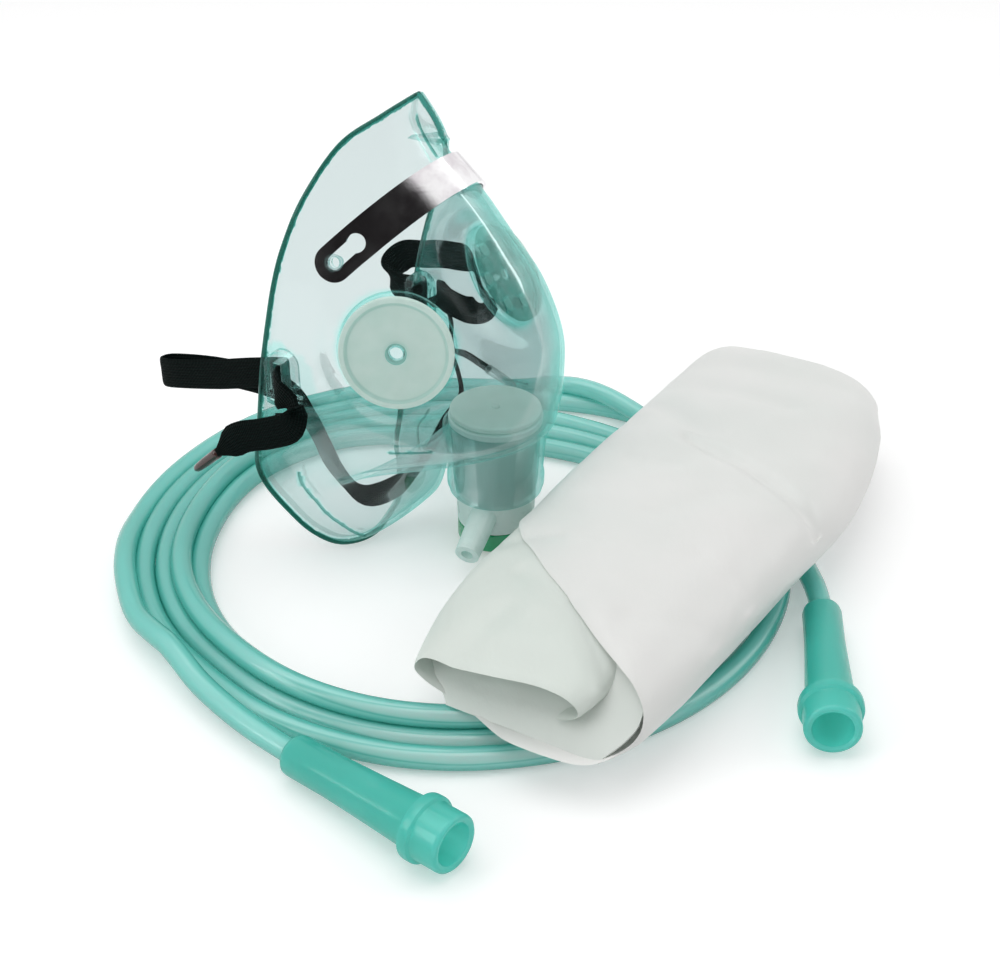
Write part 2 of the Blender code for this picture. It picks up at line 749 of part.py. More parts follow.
def build_port(parent, surface):
    """Tapered port with a plate on top, a wide bore below and the oxygen nozzle at its side."""
    top = NECK_TOP + GAP + PORT_PLATE
    flange = PORT_DIAMETER / 2 + PORT_FLANGE
    profile = [
        (0.0, PORT_BOTTOM),
        (port_radius(PORT_BOTTOM), PORT_BOTTOM),
        (port_radius(NECK_TOP), NECK_TOP + GAP),
        (flange, NECK_TOP + GAP),
        (flange, top - 0.3 * MM),
        (flange - 0.3 * MM, top),
        (0.0, top),
    ]
    place = Matrix.Translation(neck_axis(0.0))
    port = piece("inlet_connector", mesh_of("inlet_connector", turned(profile, 40, place)), parent, surface)
    root = nozzle_point(port_radius(NOZZLE_HEIGHT) * 0.55)
    tip = nozzle_point(NOZZLE_REACH)
    outer = rod(NOZZLE_ROOT_DIAMETER, root, tip, 24, NOZZLE_DIAMETER)
    boolean(port, helper("nozzle_outer", outer, parent), "UNION")
    ceiling = NECK_TOP + GAP
    bore_low = port_radius(PORT_BOTTOM) - PORT_WALL
    bore_high = port_radius(ceiling) - PORT_WALL
    bore = [
        (0.0, PORT_BOTTOM - 5 * MM),
        (bore_low, PORT_BOTTOM - 5 * MM),
        (bore_high, ceiling),
        (0.0, ceiling),
    ]
    boolean(port, helper("port_bore", turned(bore, 40, place), parent), "DIFFERENCE")
    passage = rod(NOZZLE_BORE, nozzle_point(3 * MM), nozzle_point(NOZZLE_REACH + 4 * MM), 16)
    boolean(port, helper("nozzle_bore", passage, parent), "DIFFERENCE")
    for number in range(PORT_PLATE_HOLES):
        angle = 2 * math.pi * number / PORT_PLATE_HOLES
        spot = Vector((math.cos(angle), math.sin(angle), 0.0)) * (PORT_PLATE_CIRCLE / 2)
        cut = rod(PORT_PLATE_HOLE, neck_axis(ceiling - 3 * MM) + spot, neck_axis(top + 3 * MM) + spot, 12)
        boolean(port, helper(f"port_plate_hole_{number}", cut, parent), "DIFFERENCE")
    return port


def bag_collar():
    """Grips inside the port and stands flush with it below."""
    grip = port_radius(PORT_BOTTOM) - PORT_WALL - GAP
    flush = port_radius(PORT_BOTTOM)
    bore = grip - COLLAR_WALL
    shoulder = PORT_BOTTOM - GAP
    profile = [
        (bore, COLLAR_BOTTOM),
        (flush - 0.5 * MM, COLLAR_BOTTOM),
        (flush, COLLAR_BOTTOM + 0.5 * MM),
        (flush, shoulder),
        (grip, shoulder),
        (grip, PORT_BOTTOM + COLLAR_GRIP),
        (bore, PORT_BOTTOM + COLLAR_GRIP),
    ]
    return turned(profile, 40, Matrix.Translation(neck_axis(0.0)))


def bag_fold_line():
    """Middle line of the folded film in the bag's section: across from the middle, height."""
    pitch = BAG_LAYER + BAG_LAYER_GAP
    low = BAG_LAYER / 2
    edge = BAG_WIDTH / 2 - BAG_LAYER / 2
    turn = pitch
    line = [Vector((edge - 0.5 * MM, low + 0.6 * MM))]
    center = Vector((edge - turn, low + turn))
    for step in range(7):
        angle = math.radians(-10 + 100 * step / 6)
        line.append(center + Vector((math.cos(angle), math.sin(angle))) * turn)
    line.append(Vector((0.0, low + 2 * pitch + 0.8 * MM)))
    center = Vector((-edge + turn, low + turn))
    for step in range(9):
        angle = math.radians(90 + 180 * step / 8)
        line.append(center + Vector((math.cos(angle), math.sin(angle))) * turn)
    inner = edge - pitch * 2.3
    line.append(Vector((-edge * 0.3, low)))
    line.append(Vector((inner * 0.5, low)))
    center = Vector((inner, low + pitch / 2))
    for step in range(7):
        angle = math.radians(-90 + 180 * step / 6)
        line.append(center + Vector((math.cos(angle), math.sin(angle))) * (pitch / 2))
    line.append(Vector((0.0, low + pitch)))
    line.append(Vector((-edge + turn * 1.6, low + pitch)))
    return line


def bag_section():
    """Closed outline of the folded film: one side of the middle line, then back along the other."""
    line = bag_fold_line()
    left = []
    right = []
    for index, point in enumerate(line):
        before = line[max(0, index - 1)]
        after = line[min(len(line) - 1, index + 1)]
        along = (after - before).normalized()
        side = Vector((-along.y, along.x))
        left.append(point + side * (BAG_LAYER / 2))
        right.append(point - side * (BAG_LAYER / 2))
    return left + right[::-1]


def bag_sections():
    """The section along the roll: a little slack at the ends, wider towards the far end."""
    along = Vector((math.cos(BAG_TURN), math.sin(BAG_TURN), 0.0))
    across = Vector((math.sin(BAG_TURN), -math.cos(BAG_TURN), 0.0))
    outline = bag_section()
    sections = []
    count = 10
    for step in range(count + 1):
        share = step / count
        width = 0.95 + BAG_WIDENING * share
        height = 0.90 + 0.10 * math.sin(math.pi * share)
        center = BAG_NEAR_END + along * (BAG_LENGTH * share) - across * (BAG_WIDTH / 2)
        row = []
        for x, z in outline:
            out = (x + BAG_WIDTH / 2) * width
            row.append(center + across * out + Vector((0.0, 0.0, z * height)))
        sections.append(row)
    return sections


def bag_neck(set_frame_to_mask):
    """Gathered film from beside the collar up to the folded roll."""
    start = set_frame_to_mask @ neck_axis(0.0)
    along = Vector((math.cos(BAG_TURN), math.sin(BAG_TURN), 0.0))
    across = Vector((math.sin(BAG_TURN), -math.cos(BAG_TURN), 0.0))
    rim = port_radius(PORT_BOTTOM) + GAP
    reach = (BAG_NEAR_END - start).dot(across) - BAG_WIDTH / 2
    half = BAG_NECK_THICKNESS / 2
    rows = []
    for away, height, width in (
        (rim + 0.2 * MM, half, 0.55),
        (rim + (reach - rim) * 0.5, 2.2 * MM + half, 0.8),
        (reach - 1.0 * MM, BAG_NEAR_END.z + 1.0 * MM, 1.0),
        (reach + 7.0 * MM, BAG_NEAR_END.z + 3.0 * MM, 1.0),
    ):
        middle = Vector((start.x, start.y, 0.0)) + across * away + Vector((0.0, 0.0, height))
        side = along * (BAG_NECK_WIDTH / 2 * width)
        up = Vector((0.0, 0.0, half))
        rows.append((middle - side - up, middle + side - up, middle + side + up, middle - side + up))
    return swept(rows)


def strap_route():
    """Points of the strap from its right tip to its left tip, each with the way its width lies.

    In the mask's frame, in millimetres: forward, left, up.
    """
    up = (0.0, 0.0, 1.0)
    turned_away = (0.4, -0.74, 0.54)
    return (
        ((-15.5, -39.0, 30.5), (0.5, 0.1, 0.85)),
        ((-8.5, -38.5, 36.5), (0.45, 0.1, 0.9)),
        ((-1.0, -38.0, 39.5), (0.2, 0.1, 1.0)),
        ((5.5, -37.6, 43.0), (-0.3, 0.0, 1.0)),
        ((6.2, -37.2, 48.0), (-0.25, 0.0, 1.0)),
        ((2.6, -36.6, 51.3), up),
        ((0.2, -33.4, 51.5), up),
        ((0.1, -29.0, 51.3), up),
        ((-3.4, -27.0, 50.0), up),
        ((-12.0, -26.4, 47.5), up),
        ((-26.0, -25.6, 43.0), up),
        ((-40.0, -25.2, 39.6), up),
        ((-43.4, -23.2, 38.8), up),
        ((-39.6, -21.2, 39.4), up),
        ((-24.0, -21.4, 42.0), up),
        ((-8.0, -21.6, 42.0), (0.3, 0.0, 1.0)),
        ((-2.6, -20.0, 36.0), (0.8, -0.2, 0.5)),
        ((0.6, -18.4, 28.0), (1.0, -0.3, 0.2)),
        ((2.4, -16.4, 20.0), (1.0, -0.3, 0.3)),
        ((5.6, -14.0, 13.6), (0.9, -0.3, 0.5)),
        ((9.8, -10.4, 10.0), (0.5, 0.3, 0.8)),
        ((14.0, -4.6, 11.2), (0.3, 0.2, 0.9)),
        ((16.6, 0.6, 14.4), (0.4, -0.2, 0.9)),
        ((16.6, 4.6, 20.0), (0.5, -0.5, 0.6)),
        ((17.8, 7.8, 26.6), turned_away),
        ((20.8, 11.8, 33.2), turned_away),
        ((23.6, 15.2, 38.6), turned_away),
        ((19.6, 16.2, 42.4), turned_away),
        ((17.6, 16.8, 47.6), turned_away),
        ((19.6, 17.0, 52.6), (0.35, -0.5, 0.75)),
        ((25.2, 16.4, 56.2), (0.25, -0.2, 0.95)),
        ((28.0, 15.8, 59.6), (0.4, -0.5, 0.7)),
        ((25.6, 16.0, 65.4), turned_away),
        ((21.4, 16.4, 69.4), (0.2, -0.3, 0.9)),
        ((14.4, 17.8, 70.6), (-0.1, 0.0, 1.0)),
        ((7.4, 19.6, 67.6), (-0.3, 0.2, 1.0)),
        ((0.0, 22.6, 60.0), (-0.6, 0.2, 0.8)),
        ((-1.4, 24.6, 51.0), (-0.3, 0.0, 1.0)),
        ((-0.4, 26.8, 47.4), up),
        ((0.1, 29.6, 46.5), up),
        ((0.2, 33.0, 46.5), up),
        ((2.8, 35.8, 46.8), up),
        ((6.6, 36.2, 45.0), (0.3, -0.2, 0.9)),
        ((8.4, 35.4, 42.0), (0.5, -0.5, 0.7)),
        ((7.6, 34.8, 37.6), turned_away),
        ((6.8, 34.4, 33.2), turned_away),
        ((8.6, 34.4, 30.2), (0.4, -0.7, 0.4)),
        ((13.4, 34.0, 29.6), (0.2, -0.6, 0.6)),
        ((19.6, 33.0, 28.4), (0.2, -0.6, 0.6)),
    )


def strap_stations(spacing):
    rows = strap_route()
    count = len(rows) - 1
    points = [Vector(point) * MM for point, _ in rows]
    ways = [Vector(way).normalized() for _, way in rows]
    stations = []
    length = sum((b - a).length for a, b in zip(points, points[1:]))
    steps = round(length / spacing)
    for step in range(steps + 1):
        at = count * step / steps
        stations.append((smooth_value(points, at), smooth_value(ways, at)))
    return stations


def strap_solid():
    stations = strap_stations(3.0 * MM)
    half_width = STRAP_WIDTH / 2
    half = STRAP_THICKNESS / 2
    ends = 3
    sections = []
    for index, (point, way) in enumerate(stations):
        before = stations[max(0, index - 1)][0]
        after = stations[min(len(stations) - 1, index + 1)][0]
        along = (after - before).normalized()
        across = (way - along * way.dot(along)).normalized()
        out = along.cross(across)
        near_end = min(index, len(stations) - 1 - index)
        width = half_width * (0.32 + 0.68 * min(near_end / ends, 1.0))
        thick = half * (1.0 + 0.7 * max(1 - near_end / ends, 0.0))
        shoulder = width - half * 0.6
        sections.append(
            (
                point + across * width,
                point + across * shoulder + out * thick,
                point - across * shoulder + out * thick,
                point - across * width,
                point - across * shoulder - out * thick,
                point + across * shoulder - out * thick,
            )
        )
    return swept(sections)


def strap_tip(first):
    stations = strap_stations(3.0 * MM)
    if not first:
        stations = stations[::-1]
    point = stations[0][0]
    way = (point - stations[1][0]).normalized()
    start = point + way * GAP
    return rod(STRAP_TIP_DIAMETER, start, start + way * STRAP_TIP_LENGTH, 16, STRAP_TIP_DIAMETER * 0.8)


def coil_at(angle):
    """Outer radius, inner radius and height of the coil at an angle in degrees."""
    first = COIL_OUTLINE[0][0]
    while angle < first:
        angle += 360.0
    for low, high in zip(COIL_OUTLINE, COIL_OUTLINE[1:] + ((first + 360.0, *COIL_OUTLINE[0][1:]),)):
        if low[0] <= angle <= high[0]:
            share = (angle - low[0]) / max(high[0] - low[0], 1e-6)
            return [a + (b - a) * share for a, b in zip(low[1:], high[1:])]
    return list(COIL_OUTLINE[-1][1:])


def coil_solid():
    """One closed ring with the outer shape of all the turns."""
    angles = set(row[0] for row in COIL_OUTLINE)
    step = COIL_STEP
    angles |= set(COIL_OUTLINE[0][0] + step * number for number in range(round(360 / step)))
    sections = []
    corner = TUBE_DIAMETER * 0.6
    for angle in sorted(angles):
        outer, inner, height = (value * MM for value in coil_at(angle))
        way = Vector((math.cos(math.radians(angle)), math.sin(math.radians(angle)), 0.0))
        up = Vector((0.0, 0.0, 1.0))
        section = []
        for radius, level in (
            (outer - corner, 0.0),
            (outer, corner),
            (outer, height - corner),
            (outer - corner, height),
            (inner + corner, height),
            (inner, height - corner),
            (inner, corner),
            (inner + corner, 0.0),
        ):
            section.append(way * radius + up * level)
        sections.append(section)
    return swept(sections, closed_ends=False)


def connector_axis(rear, turn):
    """Rear centre and direction of a connector that rests on its flange."""
    rear_height = CONNECTOR_BODY / 2 + GAP
    flange_height = CONNECTOR_FLANGE / 2 + GAP / 3
    flange_at = CONNECTOR_LENGTH - CONNECTOR_LIP_LENGTH - CONNECTOR_FLANGE_WIDTH / 2
    rise = (flange_height - rear_height) / flange_at
    way = Vector((math.cos(turn), math.sin(turn), rise)).normalized()
    return Vector((rear.x, rear.y, rear_height)), way


def connector_solid(rear, way):
    bore = TUBE_BORE / 2
    sleeve = TUBE_DIAMETER / 2 + GAP
    body = CONNECTOR_BODY / 2
    flare = CONNECTOR_FLARE / 2
    flange = CONNECTOR_FLANGE / 2
    lip = CONNECTOR_LIP / 2
    mouth = CONNECTOR_MOUTH / 2
    flange_end = CONNECTOR_LENGTH - CONNECTOR_LIP_LENGTH
    flange_start = flange_end - CONNECTOR_FLANGE_WIDTH
    bevel = 0.5 * MM
    mouth_floor = CONNECTOR_LENGTH - CONNECTOR_MOUTH_DEPTH
    profile = [
        (sleeve, 0.0),
        (body - 3 * bevel, 0.0),
        (body - bevel, bevel),
        (body, 3 * bevel),
        (body, CONNECTOR_TUBE_DEPTH * 0.7),
        (flare, flange_start),
        (flange - bevel, flange_start),
        (flange, flange_start + bevel),
        (flange, flange_end - bevel),
        (flange - bevel, flange_end),
        (lip, flange_end),
        (lip, CONNECTOR_LENGTH - bevel),
        (lip - bevel, CONNECTOR_LENGTH),
        (mouth + bevel, CONNECTOR_LENGTH),
        (mouth, CONNECTOR_LENGTH - bevel),
        (mouth, mouth_floor),
        (bore, mouth_floor - 2 * bevel),
        (bore, CONNECTOR_TUBE_DEPTH + GAP),
        (sleeve, CONNECTOR_TUBE_DEPTH + GAP),
    ]
    return turned(profile, 32, facing(rear, way))


def tube_object(name, points, parent, surface):
    curve = bpy.data.curves.new(name, "CURVE")
    curve.dimensions = "3D"
    curve.bevel_depth = TUBE_DIAMETER / 2
    curve.bevel_resolution = 2
    curve.use_fill_caps = True
    spline = curve.splines.new("POLY")
    spline.points.add(len(points) - 1)
    for slot, point in zip(spline.points, points):
        slot.co = (*point, 1.0)
    curve.materials.append(surface)
    made = bpy.data.objects.new(name, curve)
    bpy.context.scene.collection.objects.link(made)
    made.parent = parent
    return made


def build_tubing(parent, surfaces):
    coil = mesh_of("tubing_coil", coil_solid())
    piece("tubing_coil", coil, parent, surfaces["tube"])
    for name, lead, rear, turn in (
        ("left", LEFT_LEAD, LEFT_CONNECTOR, LEFT_CONNECTOR_TURN),
        ("right", RIGHT_LEAD, RIGHT_CONNECTOR, RIGHT_CONNECTOR_TURN),
    ):
        rear_point, way = connector_axis(Vector(rear) * MM, turn)
        points = [Vector(point) * MM for point in lead]
        points.append(rear_point)
        points.append(rear_point + way * (CONNECTOR_TUBE_DEPTH / 2))
        points.append(rear_point + way * CONNECTOR_TUBE_DEPTH)
        route = smooth_route(points, TUBE_DIAMETER * 0.75)
        tube_object(f"tubing_lead_{name}", route, parent, surfaces["tube"])
        solid = mesh_of(f"tubing_connector_{name}", connector_solid(rear_point, way))
        piece(f"tubing_connector_{name}", solid, parent, surfaces["connector"])


def build_mask(parent, surfaces):
    surface = shell_surface()
    tree = BVHTree.FromBMesh(surface)
    surface.free()
    frames = clip_frames(tree)
    build_shell(parent, surfaces["vinyl"], (tree, frames))
    clip = piece("nose_clip", mesh_of("nose_clip", clip_solid(frames)), parent, surfaces["aluminium"])
    for end, name in ((CLIP_RIGHT_END, "right"), (CLIP_LEFT_END, "left")):
        boolean(clip, helper(f"keyhole_{name}", keyhole(frames, end), parent), "DIFFERENCE", "MANIFOLD")
    for side, name in ((-1, "right"), (1, "left")):
        mesh = mesh_of(f"exhalation_valve_{name}", valve_disc(side))
        piece(f"exhalation_valve_{name}", mesh, parent, surfaces["silicone"])
    piece("inlet_valve_disc", mesh_of("inlet_valve_disc", inlet_disc()), parent, surfaces["silicone"])
    build_port(parent, surfaces["milky"])
    piece("bag_collar", mesh_of("bag_collar", bag_collar()), parent, surfaces["green"])
    piece("head_strap", mesh_of("head_strap", strap_solid()), parent, surfaces["elastic"])
    piece("strap_tip_right", mesh_of("strap_tip_right", strap_tip(True)), parent, surfaces["tip"])
    piece("strap_tip_left", mesh_of("strap_tip_left", strap_tip(False)), parent, surfaces["clear"])


def build_bag(parent, surfaces, mask_matrix):
    bag = piece("reservoir_bag", mesh_of("reservoir_bag", swept(bag_sections())), parent, surfaces["film"])
    boolean(bag, helper("bag_neck", bag_neck(mask_matrix), parent), "UNION")


def main():
    clear_scene()
    surfaces = {
        "vinyl": material("clear_green_vinyl", (0.62, 0.84, 0.80), 0.12, transmission=0.9),
        "tube": material("green_tubing", (0.36, 0.74, 0.66), 0.2, transmission=0.6),
        "connector": material("green_connector", (0.22, 0.66, 0.56), 0.22, transmission=0.5),
        "silicone": material("white_silicone", (0.78, 0.84, 0.80), 0.45),
        "milky": material("milky_plastic", (0.70, 0.82, 0.79), 0.35, transmission=0.3),
        "green": material("green_plastic", (0.02, 0.38, 0.16), 0.3),
        "aluminium": material("aluminium", (0.78, 0.78, 0.77), 0.28, metallic=1.0),
        "film": material("white_film", (0.86, 0.87, 0.85), 0.4),
        "elastic": material("black_elastic", (0.02, 0.06, 0.05), 0.8),
        "tip": material("brown_tip", (0.10, 0.04, 0.03), 0.4),
        "clear": material("clear_tip", (0.75, 0.82, 0.80), 0.15, transmission=0.8),
    }
    set_frame = empty("set_frame", location=-SET_MIDDLE)
    mask_frame = empty("mask_frame", set_frame, MASK_PLACE, MASK_TURN)
    mask_matrix = Matrix.Translation(MASK_PLACE) @ Matrix.Rotation(MASK_TURN, 4, "Z")
    build_mask(mask_frame, surfaces)
    build_bag(set_frame, surfaces, mask_matrix)
    build_tubing(set_frame, surfaces)


main()
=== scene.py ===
import math

import bmesh
import bpy
import numpy as np
from mathutils import Matrix, Vector, noise
from mathutils.bvhtree import BVHTree
from mathutils.kdtree import KDTree


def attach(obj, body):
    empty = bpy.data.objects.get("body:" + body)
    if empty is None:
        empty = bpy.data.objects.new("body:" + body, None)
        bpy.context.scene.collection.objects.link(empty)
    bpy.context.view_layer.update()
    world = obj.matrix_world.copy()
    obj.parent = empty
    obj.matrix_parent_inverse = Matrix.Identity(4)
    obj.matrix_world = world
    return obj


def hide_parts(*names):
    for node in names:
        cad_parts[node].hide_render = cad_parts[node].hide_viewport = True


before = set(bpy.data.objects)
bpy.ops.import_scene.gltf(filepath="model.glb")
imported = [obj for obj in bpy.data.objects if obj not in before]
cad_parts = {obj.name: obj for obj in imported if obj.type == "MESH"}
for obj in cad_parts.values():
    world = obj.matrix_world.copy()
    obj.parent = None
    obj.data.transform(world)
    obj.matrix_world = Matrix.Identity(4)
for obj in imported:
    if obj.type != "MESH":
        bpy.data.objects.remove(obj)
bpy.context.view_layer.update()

mm = 0.001
fullTurn = 2 * math.pi
setMiddle = Vector((23.3, -15.6, 0.0))  # middle of the set, seen from the middle of the coil

cameraView = {"place": (-0.0126, -0.2994, 0.220), "down": 32.6, "lens": 54.0, "sensor": 36.0}


def addObject(name, data):
    made = bpy.data.objects.new(name, data)
    bpy.context.scene.collection.objects.link(made)
    return made


def placeCamera():
    lens = bpy.data.cameras.new("photoCamera")
    lens.lens = cameraView["lens"]
    lens.sensor_width = cameraView["sensor"]
    lens.clip_start = 0.01
    seat = addObject("photoCamera", lens)
    seat.location = cameraView["place"]
    seat.rotation_euler = (math.radians(90.0 - cameraView["down"]), 0.0, 0.0)
    bpy.context.scene.camera = seat


# shader maths written as expressions

class nodeValue:
    def __init__(self, finish, socket):
        self.finish = finish
        self.socket = socket

    def maths(self, operation, first, second):
        return self.finish.node("ShaderNodeMath", {"operation": operation}, {0: first, 1: second})

    def __add__(self, other):
        return self.maths("ADD", self, other)

    def __radd__(self, other):
        return self.maths("ADD", other, self)

    def __sub__(self, other):
        return self.maths("SUBTRACT", self, other)

    def __rsub__(self, other):
        return self.maths("SUBTRACT", other, self)

    def __mul__(self, other):
        return self.maths("MULTIPLY", self, other)

    def __rmul__(self, other):
        return self.maths("MULTIPLY", other, self)

    def __truediv__(self, other):
        return self.maths("DIVIDE", self, other)

    def __pow__(self, other):
        return self.maths("POWER", self, other)


class finishOf:
    # one material, with a single method that adds any node
    def __init__(self, name, tree=None):
        if tree is None:
            self.material = bpy.data.materials.new(name)
            self.material.use_nodes = True
            tree = self.material.node_tree
        self.tree = tree
        self.tree.nodes.clear()

    def node(self, kind, settings=None, values=None, out=0):
        made = self.tree.nodes.new(kind)
        for key, value in (settings or {}).items():
            if key == "stops":
                ramp = made.color_ramp.elements
                while len(ramp) < len(value):
                    ramp.new(0.5)
                for stop, (place, color) in zip(ramp, value):
                    stop.position = place
                    stop.color = (*color, 1.0)
            else:
                setattr(made, key, value)
        for key, value in (values or {}).items():
            slot = made.inputs[key]
            if isinstance(value, nodeValue):
                self.tree.links.new(value.socket, slot)
            else:
                slot.default_value = value
        return nodeValue(self, made.outputs[out]) if made.outputs else made

    def place(self, source="Object", scale=(1.0, 1.0, 1.0), turn=(0.0, 0.0, 0.0)):
        spot = self.node("ShaderNodeTexCoord", out=source)
        values = {"Vector": spot, "Scale": scale, "Rotation": turn}
        return self.node("ShaderNodeMapping", None, values)

    def cloud(self, spot, scale, detail=3.0, roughness=0.5):
        values = {"Vector": spot, "Scale": scale, "Detail": detail, "Roughness": roughness}
        return self.node("ShaderNodeTexNoise", None, values)

    def fade(self, value, low, high, out=(0.0, 1.0)):
        values = {"Value": value, "From Min": low, "From Max": high, "To Min": out[0], "To Max": out[1]}
        return self.node("ShaderNodeMapRange", {"interpolation_type": "SMOOTHSTEP"}, values)

    def blendColor(self, share, first, second):
        def four(color):
            return color if isinstance(color, nodeValue) else (*color, 1.0)
        values = {0: share, 6: four(first), 7: four(second)}
        return self.node("ShaderNodeMix", {"data_type": "RGBA"}, values, out=2)

    def edge(self, blend=0.5):
        return self.node("ShaderNodeLayerWeight", None, {"Blend": blend}, out=1)

    def bump(self, height, strength, distance):
        values = {"Height": height, "Strength": strength, "Distance": distance}
        return self.node("ShaderNodeBump", None, values)

    def attribute(self, name):
        return self.node("ShaderNodeAttribute", {"attribute_name": name}, out=2)

    def toward(self, spot, way):
        # how far a spot lies in a direction
        return self.node("ShaderNodeVectorMath", {"operation": "DOT_PRODUCT"}, {0: spot, 1: way}, out=1)

    def isRay(self, kind):
        return self.node("ShaderNodeLightPath", out=f"Is {kind} Ray")

    def larger(self, first, second):
        return self.node("ShaderNodeMath", {"operation": "MAXIMUM"}, {0: first, 1: second})

    def mixed(self, share, first, second):
        return self.node("ShaderNodeMixShader", None, {0: share, 1: first, 2: second})

    def plain(self, kind, color, **more):
        # a diffuse, transparent, translucent or glossy shader of one colour
        return self.node("ShaderNodeBsdf" + kind, None, {"Color": (*color, 1.0), **more})

    def principled(self, color, roughness, **more):
        values = {"Base Color": color if isinstance(color, nodeValue) else (*color, 1.0)}
        values["Roughness"] = roughness
        for key, value in more.items():
            values[key.replace("_", " ")] = value
        return self.node("ShaderNodeBsdfPrincipled", None, values)

    def done(self, shader):
        self.node("ShaderNodeOutputMaterial", None, {"Surface": shader})
        return self.material


def clearVinyl():
    # clear where it is seen straight on, teal where the eye passes through more of it
    finish = finishOf("clearVinyl")
    spot = finish.place()
    haze = finish.cloud(spot, 38.0, 2.0)
    depth = finish.edge(0.5)
    deep = finish.attribute("deepTint")
    ripple = finish.bump(finish.cloud(spot, 60.0, 2.0), 0.25, 0.0012)
    tint = 0.02 + (depth ** 2.0) * 1.05 + deep * 1.3 + (haze - 0.5) * 0.08
    tint = finish.fade(tint, -0.05, 1.0)
    thin = finish.plain("Transparent", (0.815, 0.862, 0.862))
    thick = finish.plain("Transparent", (0.52, 0.92, 0.88))
    darkest = finish.plain("Transparent", (0.03, 0.27, 0.22))
    passed = finish.mixed(tint, thin, thick)
    passed = finish.mixed(finish.fade(deep, 0.3, 0.8), passed, darkest)
    body = finish.principled(
        finish.blendColor(tint, (0.66, 0.82, 0.79), (0.34, 0.86, 0.80)), 0.16, Normal=ripple, IOR=1.45,
    )
    body = finish.mixed(0.45, body, finish.plain("Translucent", (0.62, 0.92, 0.88), Normal=ripple))
    milk = finish.fade(0.045 + depth ** 2.0 * 0.42 + deep * 0.12, 0.0, 1.0)
    soft = finish.mixed(milk, passed, body)
    shine = finish.plain("Glossy", (1.0, 1.0, 1.0), Roughness=0.07, Normal=ripple)
    mirror = finish.node("ShaderNodeFresnel", None, {"IOR": 1.45, "Normal": ripple})
    shader = finish.mixed(mirror * 0.34, soft, shine)
    # vinyl passes scattered light on, so what stands inside is lit nearly as brightly
    passing = finish.plain("Transparent", (0.955, 0.985, 0.98))
    return finish.done(finish.mixed(finish.isRay("Shadow") * 0.8, shader, passing))


def clearTubing(name, stops, clear, lit, paintedLightFar=0.0):
    # lines along the tube where the eye meets the edge of its bore, and a painted highlight down its middle
    # where the tube faces the eye
    finish = finishOf(name)
    spot = finish.place()
    depth = finish.edge(0.5)
    cloudy = finish.cloud(spot, 30.0, 2.0)
    tone = finish.node("ShaderNodeValToRGB", {"stops": stops}, {0: depth + (cloudy - 0.5) * 0.10})
    # painted light: the far turns are painted paler, for the white light round them
    back = finish.fade(finish.toward(spot, (0.35, 1.0, 0.0)), 0.0, 0.09, (0.0, paintedLightFar))
    tone = finish.blendColor(back, tone, (0.52, 0.96, 0.92))
    fine = finish.bump(finish.cloud(spot, 300.0, 2.0), 0.1, 0.0002)
    alpha = finish.fade(depth, 0.1, 0.9, (clear, 1.0))
    shader = finish.principled(
        tone, finish.fade(cloudy, 0.2, 0.8, (0.14, 0.24)), Alpha=alpha, Normal=fine, Subsurface_Weight=0.3,
        Subsurface_Radius=(0.004, 0.009, 0.008), Subsurface_Scale=0.6, Coat_Weight=0.5, Coat_Roughness=0.08,
    )
    return finish.done(finish.mixed(lit, shader, finish.plain("Translucent", (0.34, 0.98, 0.92))))


def whiteSilicone():
    finish = finishOf("whiteSilicone")
    spot = finish.place()
    dust = finish.cloud(spot, 260.0, 4.0)
    deep = finish.attribute("deepTint")
    tone = finish.blendColor(finish.fade(dust, 0.3, 0.7), (0.80, 0.89, 0.84), (0.87, 0.94, 0.90))
    # painted shade: the groove near the edge of each valve disc is painted dark teal
    tone = finish.blendColor(deep, tone, (0.17, 0.44, 0.38))
    fine = finish.bump(dust, 0.15, 0.0003)
    alpha = finish.fade(finish.edge(0.5), 0.0, 1.0, (0.94, 1.0))
    front = finish.principled(tone, finish.fade(dust, 0.2, 0.8, (0.38, 0.5)), Alpha=alpha, Normal=fine)
    return finish.done(finish.mixed(0.4, front, finish.plain("Translucent", (0.86, 1.0, 0.97))))


def milkyPlastic():
    finish = finishOf("milkyPlastic")
    spot = finish.place()
    dust = finish.cloud(spot, 150.0, 3.0)
    edge = finish.edge(0.4)
    tone = finish.blendColor(edge, (0.90, 0.98, 0.96), (0.66, 0.93, 0.87))
    fine = finish.bump(dust, 0.1, 0.0003)
    alpha = 0.92 + 0.08 * edge
    front = finish.principled(
        tone, finish.fade(dust, 0.2, 0.8, (0.24, 0.36)), Alpha=alpha, Normal=fine, Coat_Weight=0.3,
    )
    return finish.done(finish.mixed(0.25, front, finish.plain("Translucent", (0.80, 1.0, 0.96))))


def greenPlastic():
    finish = finishOf("greenPlastic")
    spot = finish.place()
    dust = finish.cloud(spot, 180.0, 3.0)
    tone = finish.blendColor(dust, (0.004, 0.30, 0.11), (0.012, 0.38, 0.17))
    fine = finish.bump(dust, 0.1, 0.0003)
    shader = finish.principled(tone, finish.fade(dust, 0.2, 0.8, (0.22, 0.36)), Normal=fine, Coat_Weight=0.3)
    return finish.done(shader)


def clipMetal():
    # rolled aluminium strip: fine lines along it and soft mottling from handling
    finish = finishOf("clipMetal")
    spot = finish.place()
    mottle = finish.cloud(spot, 130.0, 4.0, 0.6)
    lines = finish.cloud(finish.place("Object", (90.0, 90.0, 1400.0), (0.0, 0.75, 0.4)), 1.0, 2.0)
    tone = finish.blendColor(finish.fade(mottle, 0.35, 0.7), (0.72, 0.68, 0.71), (0.92, 0.91, 0.92))
    relief = finish.bump(lines * 0.25 + mottle, 0.12, 0.0003)
    rough = finish.fade(mottle, 0.25, 0.75, (0.10, 0.2))
    return finish.done(finish.principled(tone, rough, Metallic=1.0, Normal=relief))


